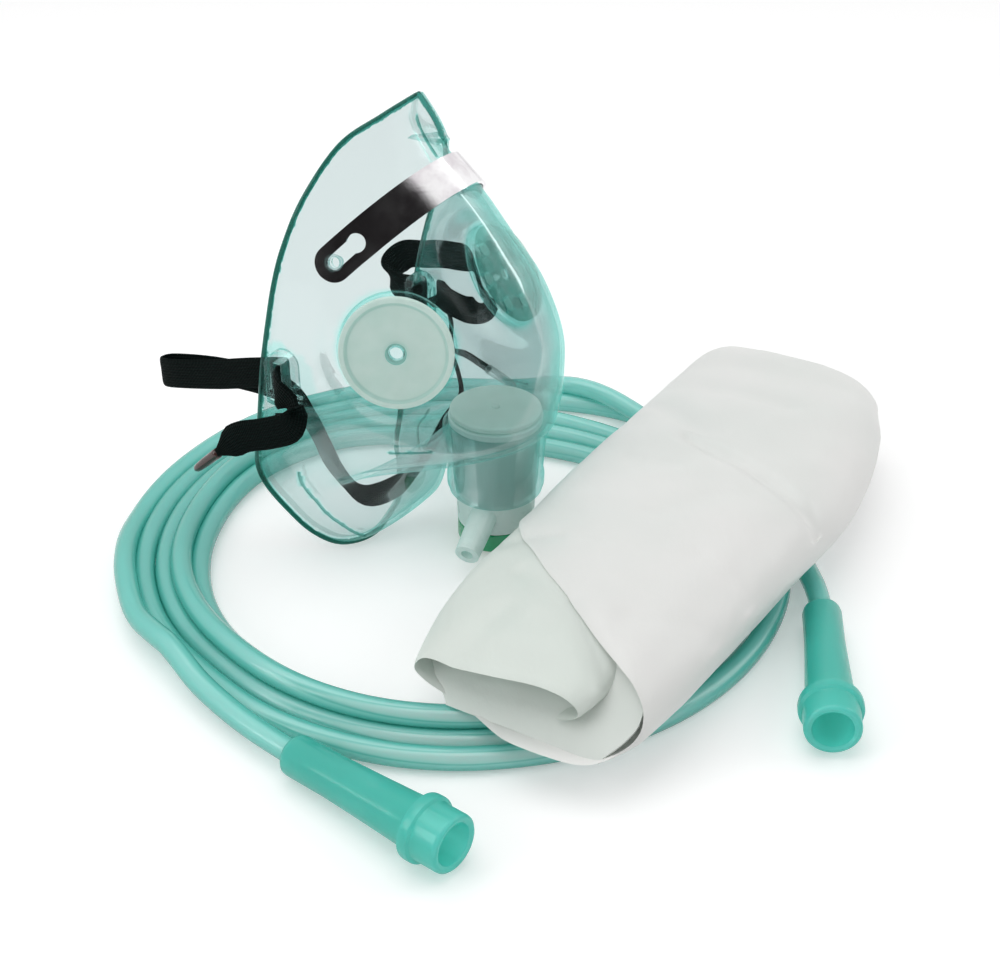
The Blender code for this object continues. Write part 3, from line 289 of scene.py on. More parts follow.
def bagFilm():
    finish = finishOf("bagFilm")
    spot = finish.place()
    cloudy = finish.cloud(spot, 22.0, 3.0)
    fine = finish.cloud(finish.place("Object", (160.0, 60.0, 160.0), (0.0, 0.0, 1.04)), 1.0, 4.0, 0.6)
    tone = finish.blendColor(finish.fade(cloudy, 0.3, 0.7), (0.89, 0.91, 0.885), (0.95, 0.945, 0.93))
    # painted shade: darker and greener where the film lies under the outer layers, and on the tuck
    tone = finish.blendColor(finish.attribute("underFilm"), tone, (0.82, 0.88, 0.83))
    relief = finish.bump(fine, 0.35, 0.0008)
    edge = finish.edge(0.4)
    alpha = 0.90 + 0.10 * edge
    rough = finish.fade(cloudy, 0.25, 0.75, (0.3, 0.42))
    front = finish.principled(tone, rough, Alpha=alpha, Normal=relief)
    return finish.done(finish.mixed(0.12, front, finish.plain("Translucent", (0.80, 0.86, 0.81))))


def wovenElastic():
    # ribs along the strap and rows of fine stitches across it, on the strap's own map in millimetres
    finish = finishOf("wovenElastic")
    rows = finish.place("UV")

    def threads(direction, scale, sway):
        settings = {"wave_type": "BANDS", "bands_direction": direction, "wave_profile": "SIN"}
        values = {"Vector": rows, "Scale": scale, "Distortion": sway, "Detail": 1.0}
        return finish.node("ShaderNodeTexWave", settings, values)

    fluff = finish.cloud(rows, 1.7, 4.0)
    height = threads("X", 0.42, 0.4) * 0.6 + threads("Y", 0.62, 0.6) * 0.4 + fluff * 0.25
    # painted shade: darker in the hollows between threads, paler on their tops
    tone = finish.blendColor(height, (0.0002, 0.0010, 0.0008), (0.0016, 0.007, 0.006))
    relief = finish.bump(height, 0.8, 0.0004)
    shader = finish.principled(
        tone, finish.fade(fluff, 0.2, 0.8, (0.6, 0.8)), Normal=relief, Sheen_Weight=0.012, Sheen_Roughness=0.4,
        Specular_IOR_Level=0.06,
    )
    return finish.done(shader)


def tipPlastic(name, dark, pale, alpha):
    finish = finishOf(name)
    spot = finish.place()
    streak = finish.cloud(spot, 300.0, 3.0)
    tone = finish.blendColor(streak, dark, pale)
    fine = finish.bump(streak, 0.2, 0.0002)
    solid = alpha + (1.0 - alpha) * finish.edge(0.5) ** 2.0
    rough = finish.fade(streak, 0.2, 0.8, (0.18, 0.32))
    return finish.done(finish.principled(tone, rough, Alpha=solid, Normal=fine, Coat_Weight=0.4))


finishes = {
    "vinyl": clearVinyl(),
    "tube": clearTubing("tubingVinyl", (
        (0.0, (0.66, 0.93, 0.88)), (0.06, (0.54, 0.90, 0.84)), (0.12, (0.19, 0.64, 0.57)),
        (0.18, (0.40, 0.84, 0.78)), (0.34, (0.25, 0.72, 0.66)), (0.55, (0.15, 0.60, 0.53)),
        (0.8, (0.07, 0.42, 0.36)), (1.0, (0.04, 0.34, 0.28)),
    ), 0.93, 0.22, 0.45),
    "connector": clearTubing("connectorVinyl", (
        (0.0, (0.22, 0.80, 0.71)), (0.12, (0.17, 0.73, 0.65)), (0.2, (0.10, 0.60, 0.52)),
        (0.5, (0.08, 0.56, 0.48)), (0.85, (0.03, 0.38, 0.32)), (1.0, (0.015, 0.28, 0.22)),
    ), 0.80, 0.42),
    "silicone": whiteSilicone(),
    "milky": milkyPlastic(),
    "green": greenPlastic(),
    "metal": clipMetal(),
    "film": bagFilm(),
    "elastic": wovenElastic(),
    "brown": tipPlastic("brownTip", (0.020, 0.007, 0.005), (0.06, 0.016, 0.012), 1.0),
    "clear": tipPlastic("clearTip", (0.42, 0.58, 0.54), (0.62, 0.74, 0.71), 0.3),
}
print("materials ready")


# mesh helpers

def meshObject(name, bm):
    mesh = bpy.data.meshes.new(name)
    bm.to_mesh(mesh)
    bm.free()
    return addObject(name, mesh)


def meshCopy(made):
    bm = bmesh.new()
    bm.from_mesh(made.data)
    bpy.data.objects.remove(made)
    bmesh.ops.remove_doubles(bm, verts=bm.verts, dist=0.004 * mm)
    return bm


def grid(columns, rows, size=1.0):
    bm = bmesh.new()
    bmesh.ops.create_grid(bm, x_segments=columns, y_segments=rows, size=size)
    return bm


def raised(bm, way):
    # extrudes every face the same way
    grown = bmesh.ops.extrude_face_region(bm, geom=bm.faces[:])
    moved = [item for item in grown["geom"] if isinstance(item, bmesh.types.BMVert)]
    bmesh.ops.translate(bm, verts=moved, vec=way)
    bmesh.ops.recalc_face_normals(bm, faces=bm.faces)


def thickened(bm, thickness):
    bmesh.ops.recalc_face_normals(bm, faces=bm.faces)
    bmesh.ops.solidify(bm, geom=bm.faces[:], thickness=thickness * mm)
    bmesh.ops.recalc_face_normals(bm, faces=bm.faces)


def showMesh(name, bm, surface, sharpAngle=40.0, replaced=()):
    made = meshObject(name, bm)
    made.data.materials.append(surface)
    made.data.shade_smooth()
    made.data.set_sharp_from_angle(angle=math.radians(sharpAngle))
    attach(made, "root")
    if replaced:
        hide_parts(*replaced)
    return made


def softenEdges(made, width, angle=35.0):
    bevel = made.modifiers.new("roundedEdges", "BEVEL")
    bevel.width = width * mm
    bevel.segments = 2
    bevel.limit_method = "ANGLE"
    bevel.angle_limit = math.radians(angle)
    bevel.harden_normals = True


def spun(profile, steps, place=None, ring=False):
    # a profile of (radius, height) in millimetres, turned about Z
    bm = bmesh.new()
    verts = [bm.verts.new((radius * mm, 0.0, height * mm)) for radius, height in profile]
    edges = [bm.edges.new(pair) for pair in zip(verts, verts[1:])]
    if ring:
        edges.append(bm.edges.new((verts[-1], verts[0])))
    bmesh.ops.spin(
        bm, geom=verts + edges, cent=(0.0, 0.0, 0.0), axis=(0.0, 0.0, 1.0), dvec=(0.0, 0.0, 0.0),
        angle=fullTurn, steps=steps, use_merge=True, use_duplicate=False,
    )
    bmesh.ops.remove_doubles(bm, verts=bm.verts, dist=0.002 * mm)
    bmesh.ops.recalc_face_normals(bm, faces=bm.faces)
    if place:
        bm.transform(place)
    return bm


def clamped(value):
    return min(max(value, 0.0), 1.0)


def smoothValue(values, at):
    # value at a fractional index of a list, on a smooth curve through all of them
    last = len(values) - 1
    index = min(int(at), last - 1)
    t = at - index
    start, end = values[index], values[index + 1]
    riseStart = (end - values[max(index - 1, 0)]) * 0.5
    riseEnd = (values[min(index + 2, last)] - start) * 0.5
    return (
        start * (2 * t**3 - 3 * t**2 + 1) + end * (3 * t**2 - 2 * t**3)
        + riseStart * (t**3 - 2 * t**2 + t) + riseEnd * (t**3 - t**2)
    )


def evenRoute(points, spacing):
    # points one spacing apart along a smooth curve through given points
    steps = 24
    fine = [smoothValue(points, index / steps) for index in range((len(points) - 1) * steps + 1)]
    lengths = [0.0]
    for a, b in zip(fine, fine[1:]):
        lengths.append(lengths[-1] + (b - a).length)
    count = max(2, round(lengths[-1] / spacing))
    route = []
    at = 0
    for number in range(count + 1):
        wanted = lengths[-1] * number / count
        while at < len(fine) - 2 and lengths[at + 1] < wanted:
            at += 1
        part = (wanted - lengths[at]) / max(lengths[at + 1] - lengths[at], 1e-9)
        route.append(fine[at].lerp(fine[at + 1], min(part, 1.0)))
    return route


def tubeAlong(points, radius, sides=12, cyclic=False):
    # a round bar along points in millimetres, as a mesh
    curve = bpy.data.curves.new("barLine", "CURVE")
    curve.dimensions = "3D"
    curve.bevel_depth = radius * mm
    curve.bevel_resolution = max(0, sides // 4 - 1)
    curve.use_fill_caps = not cyclic
    spline = curve.splines.new("POLY")
    spline.points.add(len(points) - 1)
    for slot, point in zip(spline.points, points):
        slot.co = (*(Vector(point) * mm), 1.0)
    spline.use_cyclic_u = cyclic
    holder = addObject("barLine", curve)
    shape = bpy.data.meshes.new_from_object(holder.evaluated_get(bpy.context.evaluated_depsgraph_get()))
    bm = bmesh.new()
    bm.from_mesh(shape)
    bmesh.ops.remove_doubles(bm, verts=bm.verts, dist=0.002 * mm)
    bmesh.ops.recalc_face_normals(bm, faces=bm.faces)
    bpy.data.objects.remove(holder)
    bpy.data.meshes.remove(shape)
    return bm


def facing(center, normal):
    # places a shape made along +Z at a centre in millimetres, with +Z turned to the normal
    return Matrix.Translation(Vector(center) * mm) @ Vector(normal).to_track_quat("Z", "Y").to_matrix().to_4x4()


# the tubing, from the right connector round the coil to the left connector

tubing = {
    "diameter": 5.3,
    "step": 2.6,
    "rightLead": (
        (86.7, -24.0, 4.2), (86.1, -15.0, 3.4), (85.2, -5.0, 2.9), (83.9, 7.0, 2.75), (81.5, 19.4, 2.75),
    ),
    "leftLead": (
        (-73.7, -35.1, 7.3), (-67.8, -44.0, 7.2), (-61.9, -51.9, 6.6), (-54.7, -61.3, 5.4), (-44.0, -72.3, 4.8),
    ),
    # how far each turn lies from the middle at every 45 degrees, first turn first
    "turns": (
        (84.3, 80.0, 73.5, 75.0, 79.3, 78.4, 81.4, 82.6),
        (79.5, 66.5, 65.0, 71.0, 72.7, 73.1, 76.1, 76.2),
        (74.0, 60.5, 56.5, 67.0, 68.8, 70.5, 73.4, 73.0),
        (71.0, 53.5, 48.5, 62.0, 64.9, 67.8, 70.8, 71.0),
        (68.0, 76.0, 79.0, 82.6, 81.8, 81.1),
    ),
    # and how far it lies above the floor there, where it rests on other turns
    "levels": (
        (0.0, 0.0, 0.0, 0.0, 0.0, 0.0, 0.0, 0.0), (0.0, 0.0, 0.0, 0.0, 0.0, 0.0, 0.0, 0.0),
        (0.0, 0.0, 0.0, 3.5, 3.4, 4.6, 4.4, 4.4), (4.4, 0.0, 0.0, 0.0, 0.0, 0.0, 0.0, 0.0),
        (0.0, 7.0, 4.0, 0.0, 4.6, 4.6),
    ),
    # first and last angle of the coil, and the angle between its points
    "angles": (22.5, 1640.0, 7.5),
    "heldPoints": 26,  # at each end
    # rounds in which it settles, how far it sinks in each, and how hard and how far the turns push each other
    "settleRounds": 170, "sink": 0.05, "push": 0.42, "longestPush": 0.8, "driftKept": 0.955,
    "ownNeighbours": 7, "clearance": 0.05,
}
connectorPlace = {
    "left": (Vector((-32.4, -82.3, 0.0)), math.radians(-39.6)),
    "right": (Vector((86.3, -34.1, 0.0)), math.radians(-97.6)),
    "length": 45.0, "frontLength": 6.5, "flangeWidth": 1.3, "tubeDepth": 18.0,
    "rearDiameter": 9.2, "rearLift": 0.3, "flangeDiameter": 14.2, "flangeLift": 0.1,
}


def connectorAxis(name):
    # rear centre and direction of a connector that rests on its flange
    middle, turn = connectorPlace[name]
    radius, lift = connectorPlace["rearDiameter"] / 2, connectorPlace["rearLift"]
    higher = connectorPlace["flangeDiameter"] / 2 + connectorPlace["flangeLift"] - radius - lift
    rise = higher / (connectorPlace["length"] - connectorPlace["frontLength"] - connectorPlace["flangeWidth"])
    way = Vector((math.cos(turn), math.sin(turn), rise)).normalized()
    return Vector((middle.x, middle.y, radius + lift)), way


def coilPoint(angle):
    radii = [radius for lap in tubing["turns"] for radius in lap]
    levels = [level for lap in tubing["levels"] for level in lap]
    radius = smoothValue(radii, angle / 45.0)
    turn = math.radians(angle)
    level = max(0.0, smoothValue(levels, angle / 45.0))
    height = tubing["diameter"] / 2 + 0.1 + level + 0.1 * int(angle // 360)
    return Vector((radius * math.cos(turn), radius * math.sin(turn), height))


def settle(route, held):
    # the turns sink and push each other apart, as soft tubing does when it is laid down
    wanted = route.copy()
    order = np.arange(len(route))
    ownNeighbour = np.abs(order[:, None] - order[None, :]) < tubing["ownNeighbours"]
    apart = tubing["diameter"] + tubing["clearance"]
    for _ in range(tubing["settleRounds"]):
        route[:, 2] -= tubing["sink"]
        gaps = route[:, None, :] - route[None, :, :]
        lengths = np.sqrt((gaps**2).sum(axis=2))
        lengths[ownNeighbour] = 1e6
        overlap = np.clip(apart - lengths, 0.0, None)
        push = (gaps * (overlap / np.maximum(lengths, 1e-6))[..., None]).sum(axis=1) * tubing["push"]
        route += np.clip(push, -tubing["longestPush"], tubing["longestPush"])
        drift = route - wanted
        drift[1:-1] = drift[1:-1] * 0.5 + (drift[:-2] + drift[2:]) * 0.25
        drift[:, :2] *= tubing["driftKept"]
        route = wanted + drift
        route[:, 2] = np.maximum(route[:, 2], tubing["diameter"] / 2 + tubing["clearance"])
        route[held] = wanted[held]
    return route


def layTubing():
    rightRear, rightWay = connectorAxis("right")
    leftRear, leftWay = connectorAxis("left")
    depth = connectorPlace["tubeDepth"]
    points = [rightRear + rightWay * depth, rightRear + rightWay * (depth / 2), rightRear]
    points += [Vector(point) for point in tubing["rightLead"]]
    angle, lastAngle, step = tubing["angles"]
    while angle < lastAngle:
        points.append(coilPoint(angle))
        angle += step
    points += [Vector(point) for point in tubing["leftLead"]]
    points += [leftRear, leftRear + leftWay * (depth / 2), leftRear + leftWay * depth]
    route = np.array([tuple(point) for point in evenRoute(points, tubing["step"])])
    held = np.zeros(len(route), bool)
    held[:tubing["heldPoints"]] = True
    held[-tubing["heldPoints"]:] = True
    route = settle(route, held)
    route = route[::-1] - np.array(tuple(setMiddle))
    return [Vector(point) * mm for point in route]


def makeTubing():
    path = layTubing()
    curve = bpy.data.curves.new("oxygenTubing", "CURVE")
    curve.dimensions = "3D"
    curve.bevel_depth = tubing["diameter"] / 2 * mm
    curve.bevel_resolution = 4
    curve.use_fill_caps = True
    spline = curve.splines.new("POLY")
    spline.points.add(len(path) - 1)
    for slot, point in zip(spline.points, path):
        slot.co = (*point, 1.0)
    spline.use_smooth = True
    curve.materials.append(finishes["tube"])
    made = addObject("oxygenTubing", curve)
    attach(made, "root")
    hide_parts("tubing_coil", "tubing_lead_left", "tubing_lead_right")
    length = sum((b - a).length for a, b in zip(path, path[1:]))
    print("tubing laid,", round(length, 3), "m, highest", round(max(p.z for p in path), 4))
    return made, path, length


# soft connectors at both ends of the tubing

connectorShape = {
    "profile": (
        (2.95, 0.0), (3.4, 0.0), (4.0, 0.35), (4.45, 0.9), (4.6, 1.7), (4.6, 12.5), (4.75, 17.0), (5.0, 24.0),
        (5.3, 31.0), (5.5, 35.0), (5.6, 35.6), (6.6, 35.7), (7.0, 36.0), (7.1, 36.5), (7.1, 37.9), (7.0, 38.3),
        (6.7, 38.5), (6.35, 38.7), (6.2, 39.2), (6.2, 43.9), (6.1, 44.5), (5.7, 44.9), (5.3, 45.0), (4.9, 44.9),
        (4.5, 44.6), (4.4, 44.0), (4.4, 25.6), (4.2, 25.0), (3.4, 24.6), (1.8, 24.0), (1.8, 18.3), (2.95, 18.3),
    ),
    "steps": 64,
}


def makeConnector(side):
    rear, way = connectorAxis(side)
    place = facing(rear - setMiddle, way)
    bm = spun(connectorShape["profile"], connectorShape["steps"], place, ring=True)
    replaced = (f"tubing_connector_{side}",)
    return showMesh(f"{side}Connector", bm, finishes["connector"], 38.0, replaced)


# the mask moulding

mask = {
    "place": Vector((-25.5, 22.3, 0.0)),
    "turn": math.radians(-28.6),
    "wall": 1.2,
    "rimDiameter": 1.3,
    "rows": 150,
    "columns": 110,
    "rimSteps": 110,
    "beadRadius": 0.32,
    # how much deeper the tint is at the rim, the raised lines, the lugs and the rings of the seats and the neck
    "deeper": {"rim": 0.75, "bead": 0.6, "lug": 0.24, "seatRing": 0.34, "neckRing": 0.14},
    # nose to chin: middle line (forward, height), right rim and left rim (forward, half width, height),
    # and how full the curve between them is on the right and on the left
    "stations": (
        ((20.7, 113.6), (20.7, 0.0, 113.6), (20.7, 0.0, 113.6), 1.45, 1.6),
        ((20.0, 107.5), (15.5, 7.5, 109.8), (22.3, 5.0, 105.5), 1.45, 1.7),
        ((23.6, 101.0), (8.7, 14.5, 104.2), (20.5, 11.5, 96.0), 1.45, 1.9),
        ((29.0, 96.2), (3.6, 22.5, 93.5), (14.0, 19.0, 85.0), 1.45, 1.9),
        ((35.5, 90.0), (0.2, 26.6, 83.0), (8.5, 24.5, 76.0), 1.5, 1.85),
        ((42.5, 81.5), (-1.3, 29.2, 75.0), (4.8, 27.3, 68.5), 1.55, 1.9),
        ((50.0, 70.8), (-2.7, 31.0, 65.5), (1.2, 29.8, 59.5), 1.6, 2.1),
        ((55.2, 58.5), (-4.6, 32.0, 54.4), (-1.8, 31.4, 49.5), 1.7, 2.15),
        ((56.0, 48.5), (-6.8, 31.5, 43.5), (-3.4, 30.6, 38.0), 1.9, 2.15),
        ((55.2, 40.5), (-9.9, 29.6, 32.0), (-4.2, 28.6, 25.5), 2.1, 2.2),
        ((52.6, 34.0), (-12.8, 27.6, 22.5), (-4.0, 26.0, 16.5), 2.2, 2.2),
        ((40.0, 31.2), (-11.3, 27.0, 16.5), (-3.0, 23.2, 12.0), 2.2, 2.2),
        ((27.0, 29.6), (-6.0, 26.4, 10.5), (-2.0, 20.0, 8.6), 2.2, 2.2),
        ((24.8, 20.0), (1.0, 25.2, 4.6), (0.0, 16.5, 6.4), 2.1, 2.1),
        ((22.4, 9.6), (8.0, 22.4, 1.9), (3.0, 12.8, 5.0), 2.0, 2.0),
        ((16.4, 4.0), (12.4, 14.0, 1.6), (6.4, 7.2, 3.4), 2.0, 2.0),
        ((10.5, 2.4), (10.5, 0.0, 2.4), (10.5, 0.0, 2.4), 2.0, 2.0),
    ),
    # raised lines on the wall: (place from nose to chin, place across)
    "beads": (
        (
            (10.3, -0.9), (11.4, -0.88), (12.1, -0.86), (12.6, -0.845), (12.95, -0.825), (13.5, -0.79),
            (14.05, -0.755),
        ),
        ((9.2, -0.66), (9.2, -0.62), (9.2, -0.58), (9.2, -0.54)),
        ((9.2, 0.66), (9.2, 0.60), (9.2, 0.54)),
        ((10.6, 0.9), (11.6, 0.88), (12.4, 0.85), (13.2, 0.81)),
        ((0.9, 0.02), (1.3, 0.03), (1.8, 0.03), (2.2, 0.02)),
    ),
}
neck = {
    "forward": 39.6, "left": 0.8, "top": 35.0, "bottom": 15.5, "wall": 1.3, "gap": 0.3, "portRadius": 11.0,
    "taper": 0.045,
}
valve = {
    # middle and outward direction of each seat
    "right": (Vector((27.5, -23.6, 62.0)), Vector((0.42, -0.88, 0.16)).normalized()),
    "left": (Vector((27.6, 26.0, 60.8)), Vector((0.42, 0.88, 0.16)).normalized()),
    "seatRadius": 13.8, "seatProud": 0.7, "blend": 5.5, "holes": 6, "holeRadius": 2.0, "holeCircle": 8.8,
    "studRadius": 1.6, "headRadius": 2.45, "radius": 13.2, "thickness": 1.1,
}
clip = {
    "width": 8.7, "thickness": 0.9, "lift": 0.45, "studRadius": 1.3, "headRadius": 2.0, "reach": 6.6,
    "legSteps": 30, "tipSteps": 12,
    "right": Vector((12.2, -23.0, 80.1)), "left": Vector((20.5, 19.5, 84.8)), "top": Vector((28.9, 0.0, 96.2)),
}
lug = {
    "forward": 0.2, "right": 51.5, "left": 46.5, "width": 7.6, "length": 14.0, "proud": 1.5, "sunk": 2.2,
    "edge": 0.8, "slot": (2.3, 16.0, 9.2),
}
maskFrame = Matrix.Translation((mask["place"] - setMiddle) * mm) @ Matrix.Rotation(mask["turn"], 4, "Z")


def stationAt(at):
    rows = mask["stations"]
    middles = [Vector((row[0][0], 0.0, row[0][1])) for row in rows]
    rights = [Vector((row[1][0], -row[1][1], row[1][2])) for row in rows]
    lefts = [Vector(row[2]) for row in rows]
    lists = (middles, rights, lefts, [row[3] for row in rows], [row[4] for row in rows])
    return [smoothValue(values, at) for values in lists]


def shellPoint(station, across):
    middle, right, left, fullRight, fullLeft = station
    rim, fullness = (right, fullRight) if across < 0 else (left, fullLeft)
    out = math.sin(abs(across) * math.pi / 2)
    back = 1 - max(1 - out**fullness, 0.0) ** (1 / fullness)
    return Vector((
        middle.x + (rim.x - middle.x) * back,
        rim.y * out,
        middle.z + (rim.z - middle.z) * back,
    ))


def onSeat(point):
    # the shell is pressed flat round each valve seat
    for side in ("right", "left"):
        center, normal = valve[side]
        offset = point - center
        height = offset.dot(normal)
        away = (offset - normal * height).length
        flat = valve["seatRadius"] + 0.6
        if abs(height) > 12 or away > flat + valve["blend"]:
            continue
        share = clamped((flat + valve["blend"] - away) / valve["blend"])
        point = point - normal * (height * share * share * (3 - 2 * share))
    return point


def shellSurface():
    bm = grid(mask["columns"], mask["rows"])
    last = len(mask["stations"]) - 1
    known = {}
    for vert in bm.verts:
        row = round(vert.co.y, 5)
        if row not in known:
            known[row] = stationAt((row + 1) / 2 * last)
        vert.co = onSeat(shellPoint(known[row], vert.co.x)) * mm
    bmesh.ops.remove_doubles(bm, verts=bm.verts, dist=0.01 * mm)
    bmesh.ops.recalc_face_normals(bm, faces=bm.faces)
    return bm


def hitFrom(tree, start, direction):
    spot, normal, _, _ = tree.ray_cast(start * mm, direction)
    if spot is None:
        return None, None
    return spot / mm, -normal if normal.dot(direction) > 0 else normal


def clipLines():
    # aim points along the clip from its right end over the nose to its left end, with the half width
    half = clip["width"] / 2
    rows = []
    for side, end in ((-1, clip["right"]), (1, clip["left"])):
        length = (end - clip["top"]).length
        steps = clip["legSteps"]
        leg = [(length * step / steps, half) for step in range(1 if side > 0 else 0, steps + 1)]
        for step in range(1, clip["tipSteps"] + 1):
            angle = math.radians(88.0) * step / clip["tipSteps"]
            leg.append((length + half * math.sin(angle), half * math.cos(angle)))
        row = [(clip["top"] + (end - clip["top"]).normalized() * away, width) for away, width in leg]
        rows = row[::-1] if side < 0 else rows + row
    return rows


def clipFrames(tree):
    heart = Vector((8.0, 0.0, 70.0))
    spots = []
    for aim, width in clipLines():
        outward = (aim - heart).normalized()
        spot, normal = hitFrom(tree, aim + outward * 60, -outward)
        spots.append((spot, normal, width))
    count = len(spots)
    frames = []
    for index, (spot, _, width) in enumerate(spots):
        before = spots[max(0, index - 3)][0]
        after = spots[min(count - 1, index + 3)][0]
        along = (after - before).normalized()
        window = spots[max(0, index - 5): index + 6]
        out = sum((normal for _, normal, _ in window), Vector())
        out = (out - along * out.dot(along)).normalized()
        across = along.cross(out)
        lift = 0.0
        for share in (-1.0, -0.5, 0.0, 0.5, 1.0):
            above = spot + across * (clip["width"] / 2 * share) + out * 20
            hit, _ = hitFrom(tree, above, -out)
            if hit:
                lift = max(lift, (hit - spot).dot(out))
        frames.append([spot + out * (lift + clip["lift"]), along, out, across, width])
    for _ in range(3):  # evens out the lift between neighbouring lines
        bases = [item[0].copy() for item in frames]
        for index in range(1, count - 1):
            frames[index][0] = bases[index] * 0.5 + (bases[index - 1] + bases[index + 1]) * 0.25
    return frames


def joinTo(target, bm, operation="UNION"):
    tool = meshObject("shapingTool", bm)
    step = target.modifiers.new(operation, "BOOLEAN")
    step.operation = operation
    step.object = tool
    step.solver = "MANIFOLD"
    bpy.context.view_layer.update()
    shape = bpy.data.meshes.new_from_object(target.evaluated_get(bpy.context.evaluated_depsgraph_get()))
    target.modifiers.clear()
    old = target.data
    target.data = shape
    bpy.data.meshes.remove(old)
    spent = tool.data
    bpy.data.objects.remove(tool)
    bpy.data.meshes.remove(spent)


def portRadius(height):
    return neck["portRadius"] - (neck["top"] - height) * neck["taper"]


def bar(start, end, radius):
    along = end - start
    bm = bmesh.new()
    bmesh.ops.create_cone(
        bm, cap_ends=True, segments=24, radius1=radius * mm, radius2=radius * mm, depth=along.length * mm,
    )
    bm.transform(facing((start + end) / 2, along))
    return bm


def lugBlock(center, side):
    half = lug["width"] / 2
    outline = bmesh.new()
    bmesh.ops.create_circle(outline, cap_ends=True, radius=half, segments=48)
    for vert in outline.verts:
        vert.co.y += lug["length"] / 2 - half if vert.co.y >= -1e-6 else -(lug["length"] / 2 - half)
        if vert.co.y < 0:
            vert.co.x = math.copysign(min(half, abs(vert.co.x) * 2.2), vert.co.x)
            vert.co.y = max(vert.co.y, -lug["length"] / 2)
    bmesh.ops.remove_doubles(outline, verts=outline.verts, dist=0.01)
    raised(outline, (0.0, 0.0, lug["sunk"] + lug["proud"]))
    top = [edge for edge in outline.edges if all(vert.co.z > lug["sunk"] for vert in edge.verts)]
    bmesh.ops.bevel(
        outline, geom=top, offset=lug["edge"], segments=4, profile=0.5, affect="EDGES", material=-1,
        clamp_overlap=True,
    )
    outline.transform(Matrix.Translation((0.0, 0.0, -lug["sunk"])))
    turn = Matrix(((1, 0, 0), (0, 0, side), (0, 1, 0))).to_4x4()
    outline.transform(Matrix.Scale(mm, 4) @ Matrix.Translation(center) @ turn)
    bmesh.ops.recalc_face_normals(outline, faces=outline.faces)
    return outline


def beadRoute(row):
    points = evenRoute([Vector((at, across, 0.0)) for at, across in row], 0.05)
    return [shellPoint(stationAt(point.x), point.y) for point in points]


def treeOf(points):
    tree = KDTree(len(points))
    for index, point in enumerate(points):
        tree.insert(point, index)
    tree.balance()
    return tree


def deepAt(spot, rimTree, beadTree):
    # how much deeper the tint is at a place given in millimetres in the mask's frame
    deeper = mask["deeper"]
    if rimTree.find(spot)[2] < 0.85:
        return deeper["rim"]
    if beadTree.find(spot)[2] < 0.6:
        return deeper["bead"]
    for side in ("right", "left"):
        center, normal = valve[side]
        offset = spot - center
        height = offset.dot(normal)
        away = (offset - normal * height).length
        if abs(height) < 4 and away < valve["seatRadius"] + 1.0:
            ring = max(0.0, 1 - abs(away - valve["seatRadius"] + 0.6) / 1.6)
            hole = max(0.0, 1 - abs(away - valve["holeCircle"]) / 3.0) * 0.06
            return (0.08 if away > 3.2 else 0.14) + deeper["seatRing"] * ring + hole
        if (spot - lug[side + "Center"]).length < 9.0 and abs(spot.y) > abs(lug[side + "Center"].y) - 1.5:
            return deeper["lug"]
    toNeck = Vector((spot.x - neck["forward"], spot.y - neck["left"])).length
    if toNeck < 14.4 and spot.z < neck["top"] + 0.5:
        return 0.02 + deeper["neckRing"] * max(0.0, 1 - abs(spot.z - neck["top"] + 1.6) / 2.2)
    return 0.0


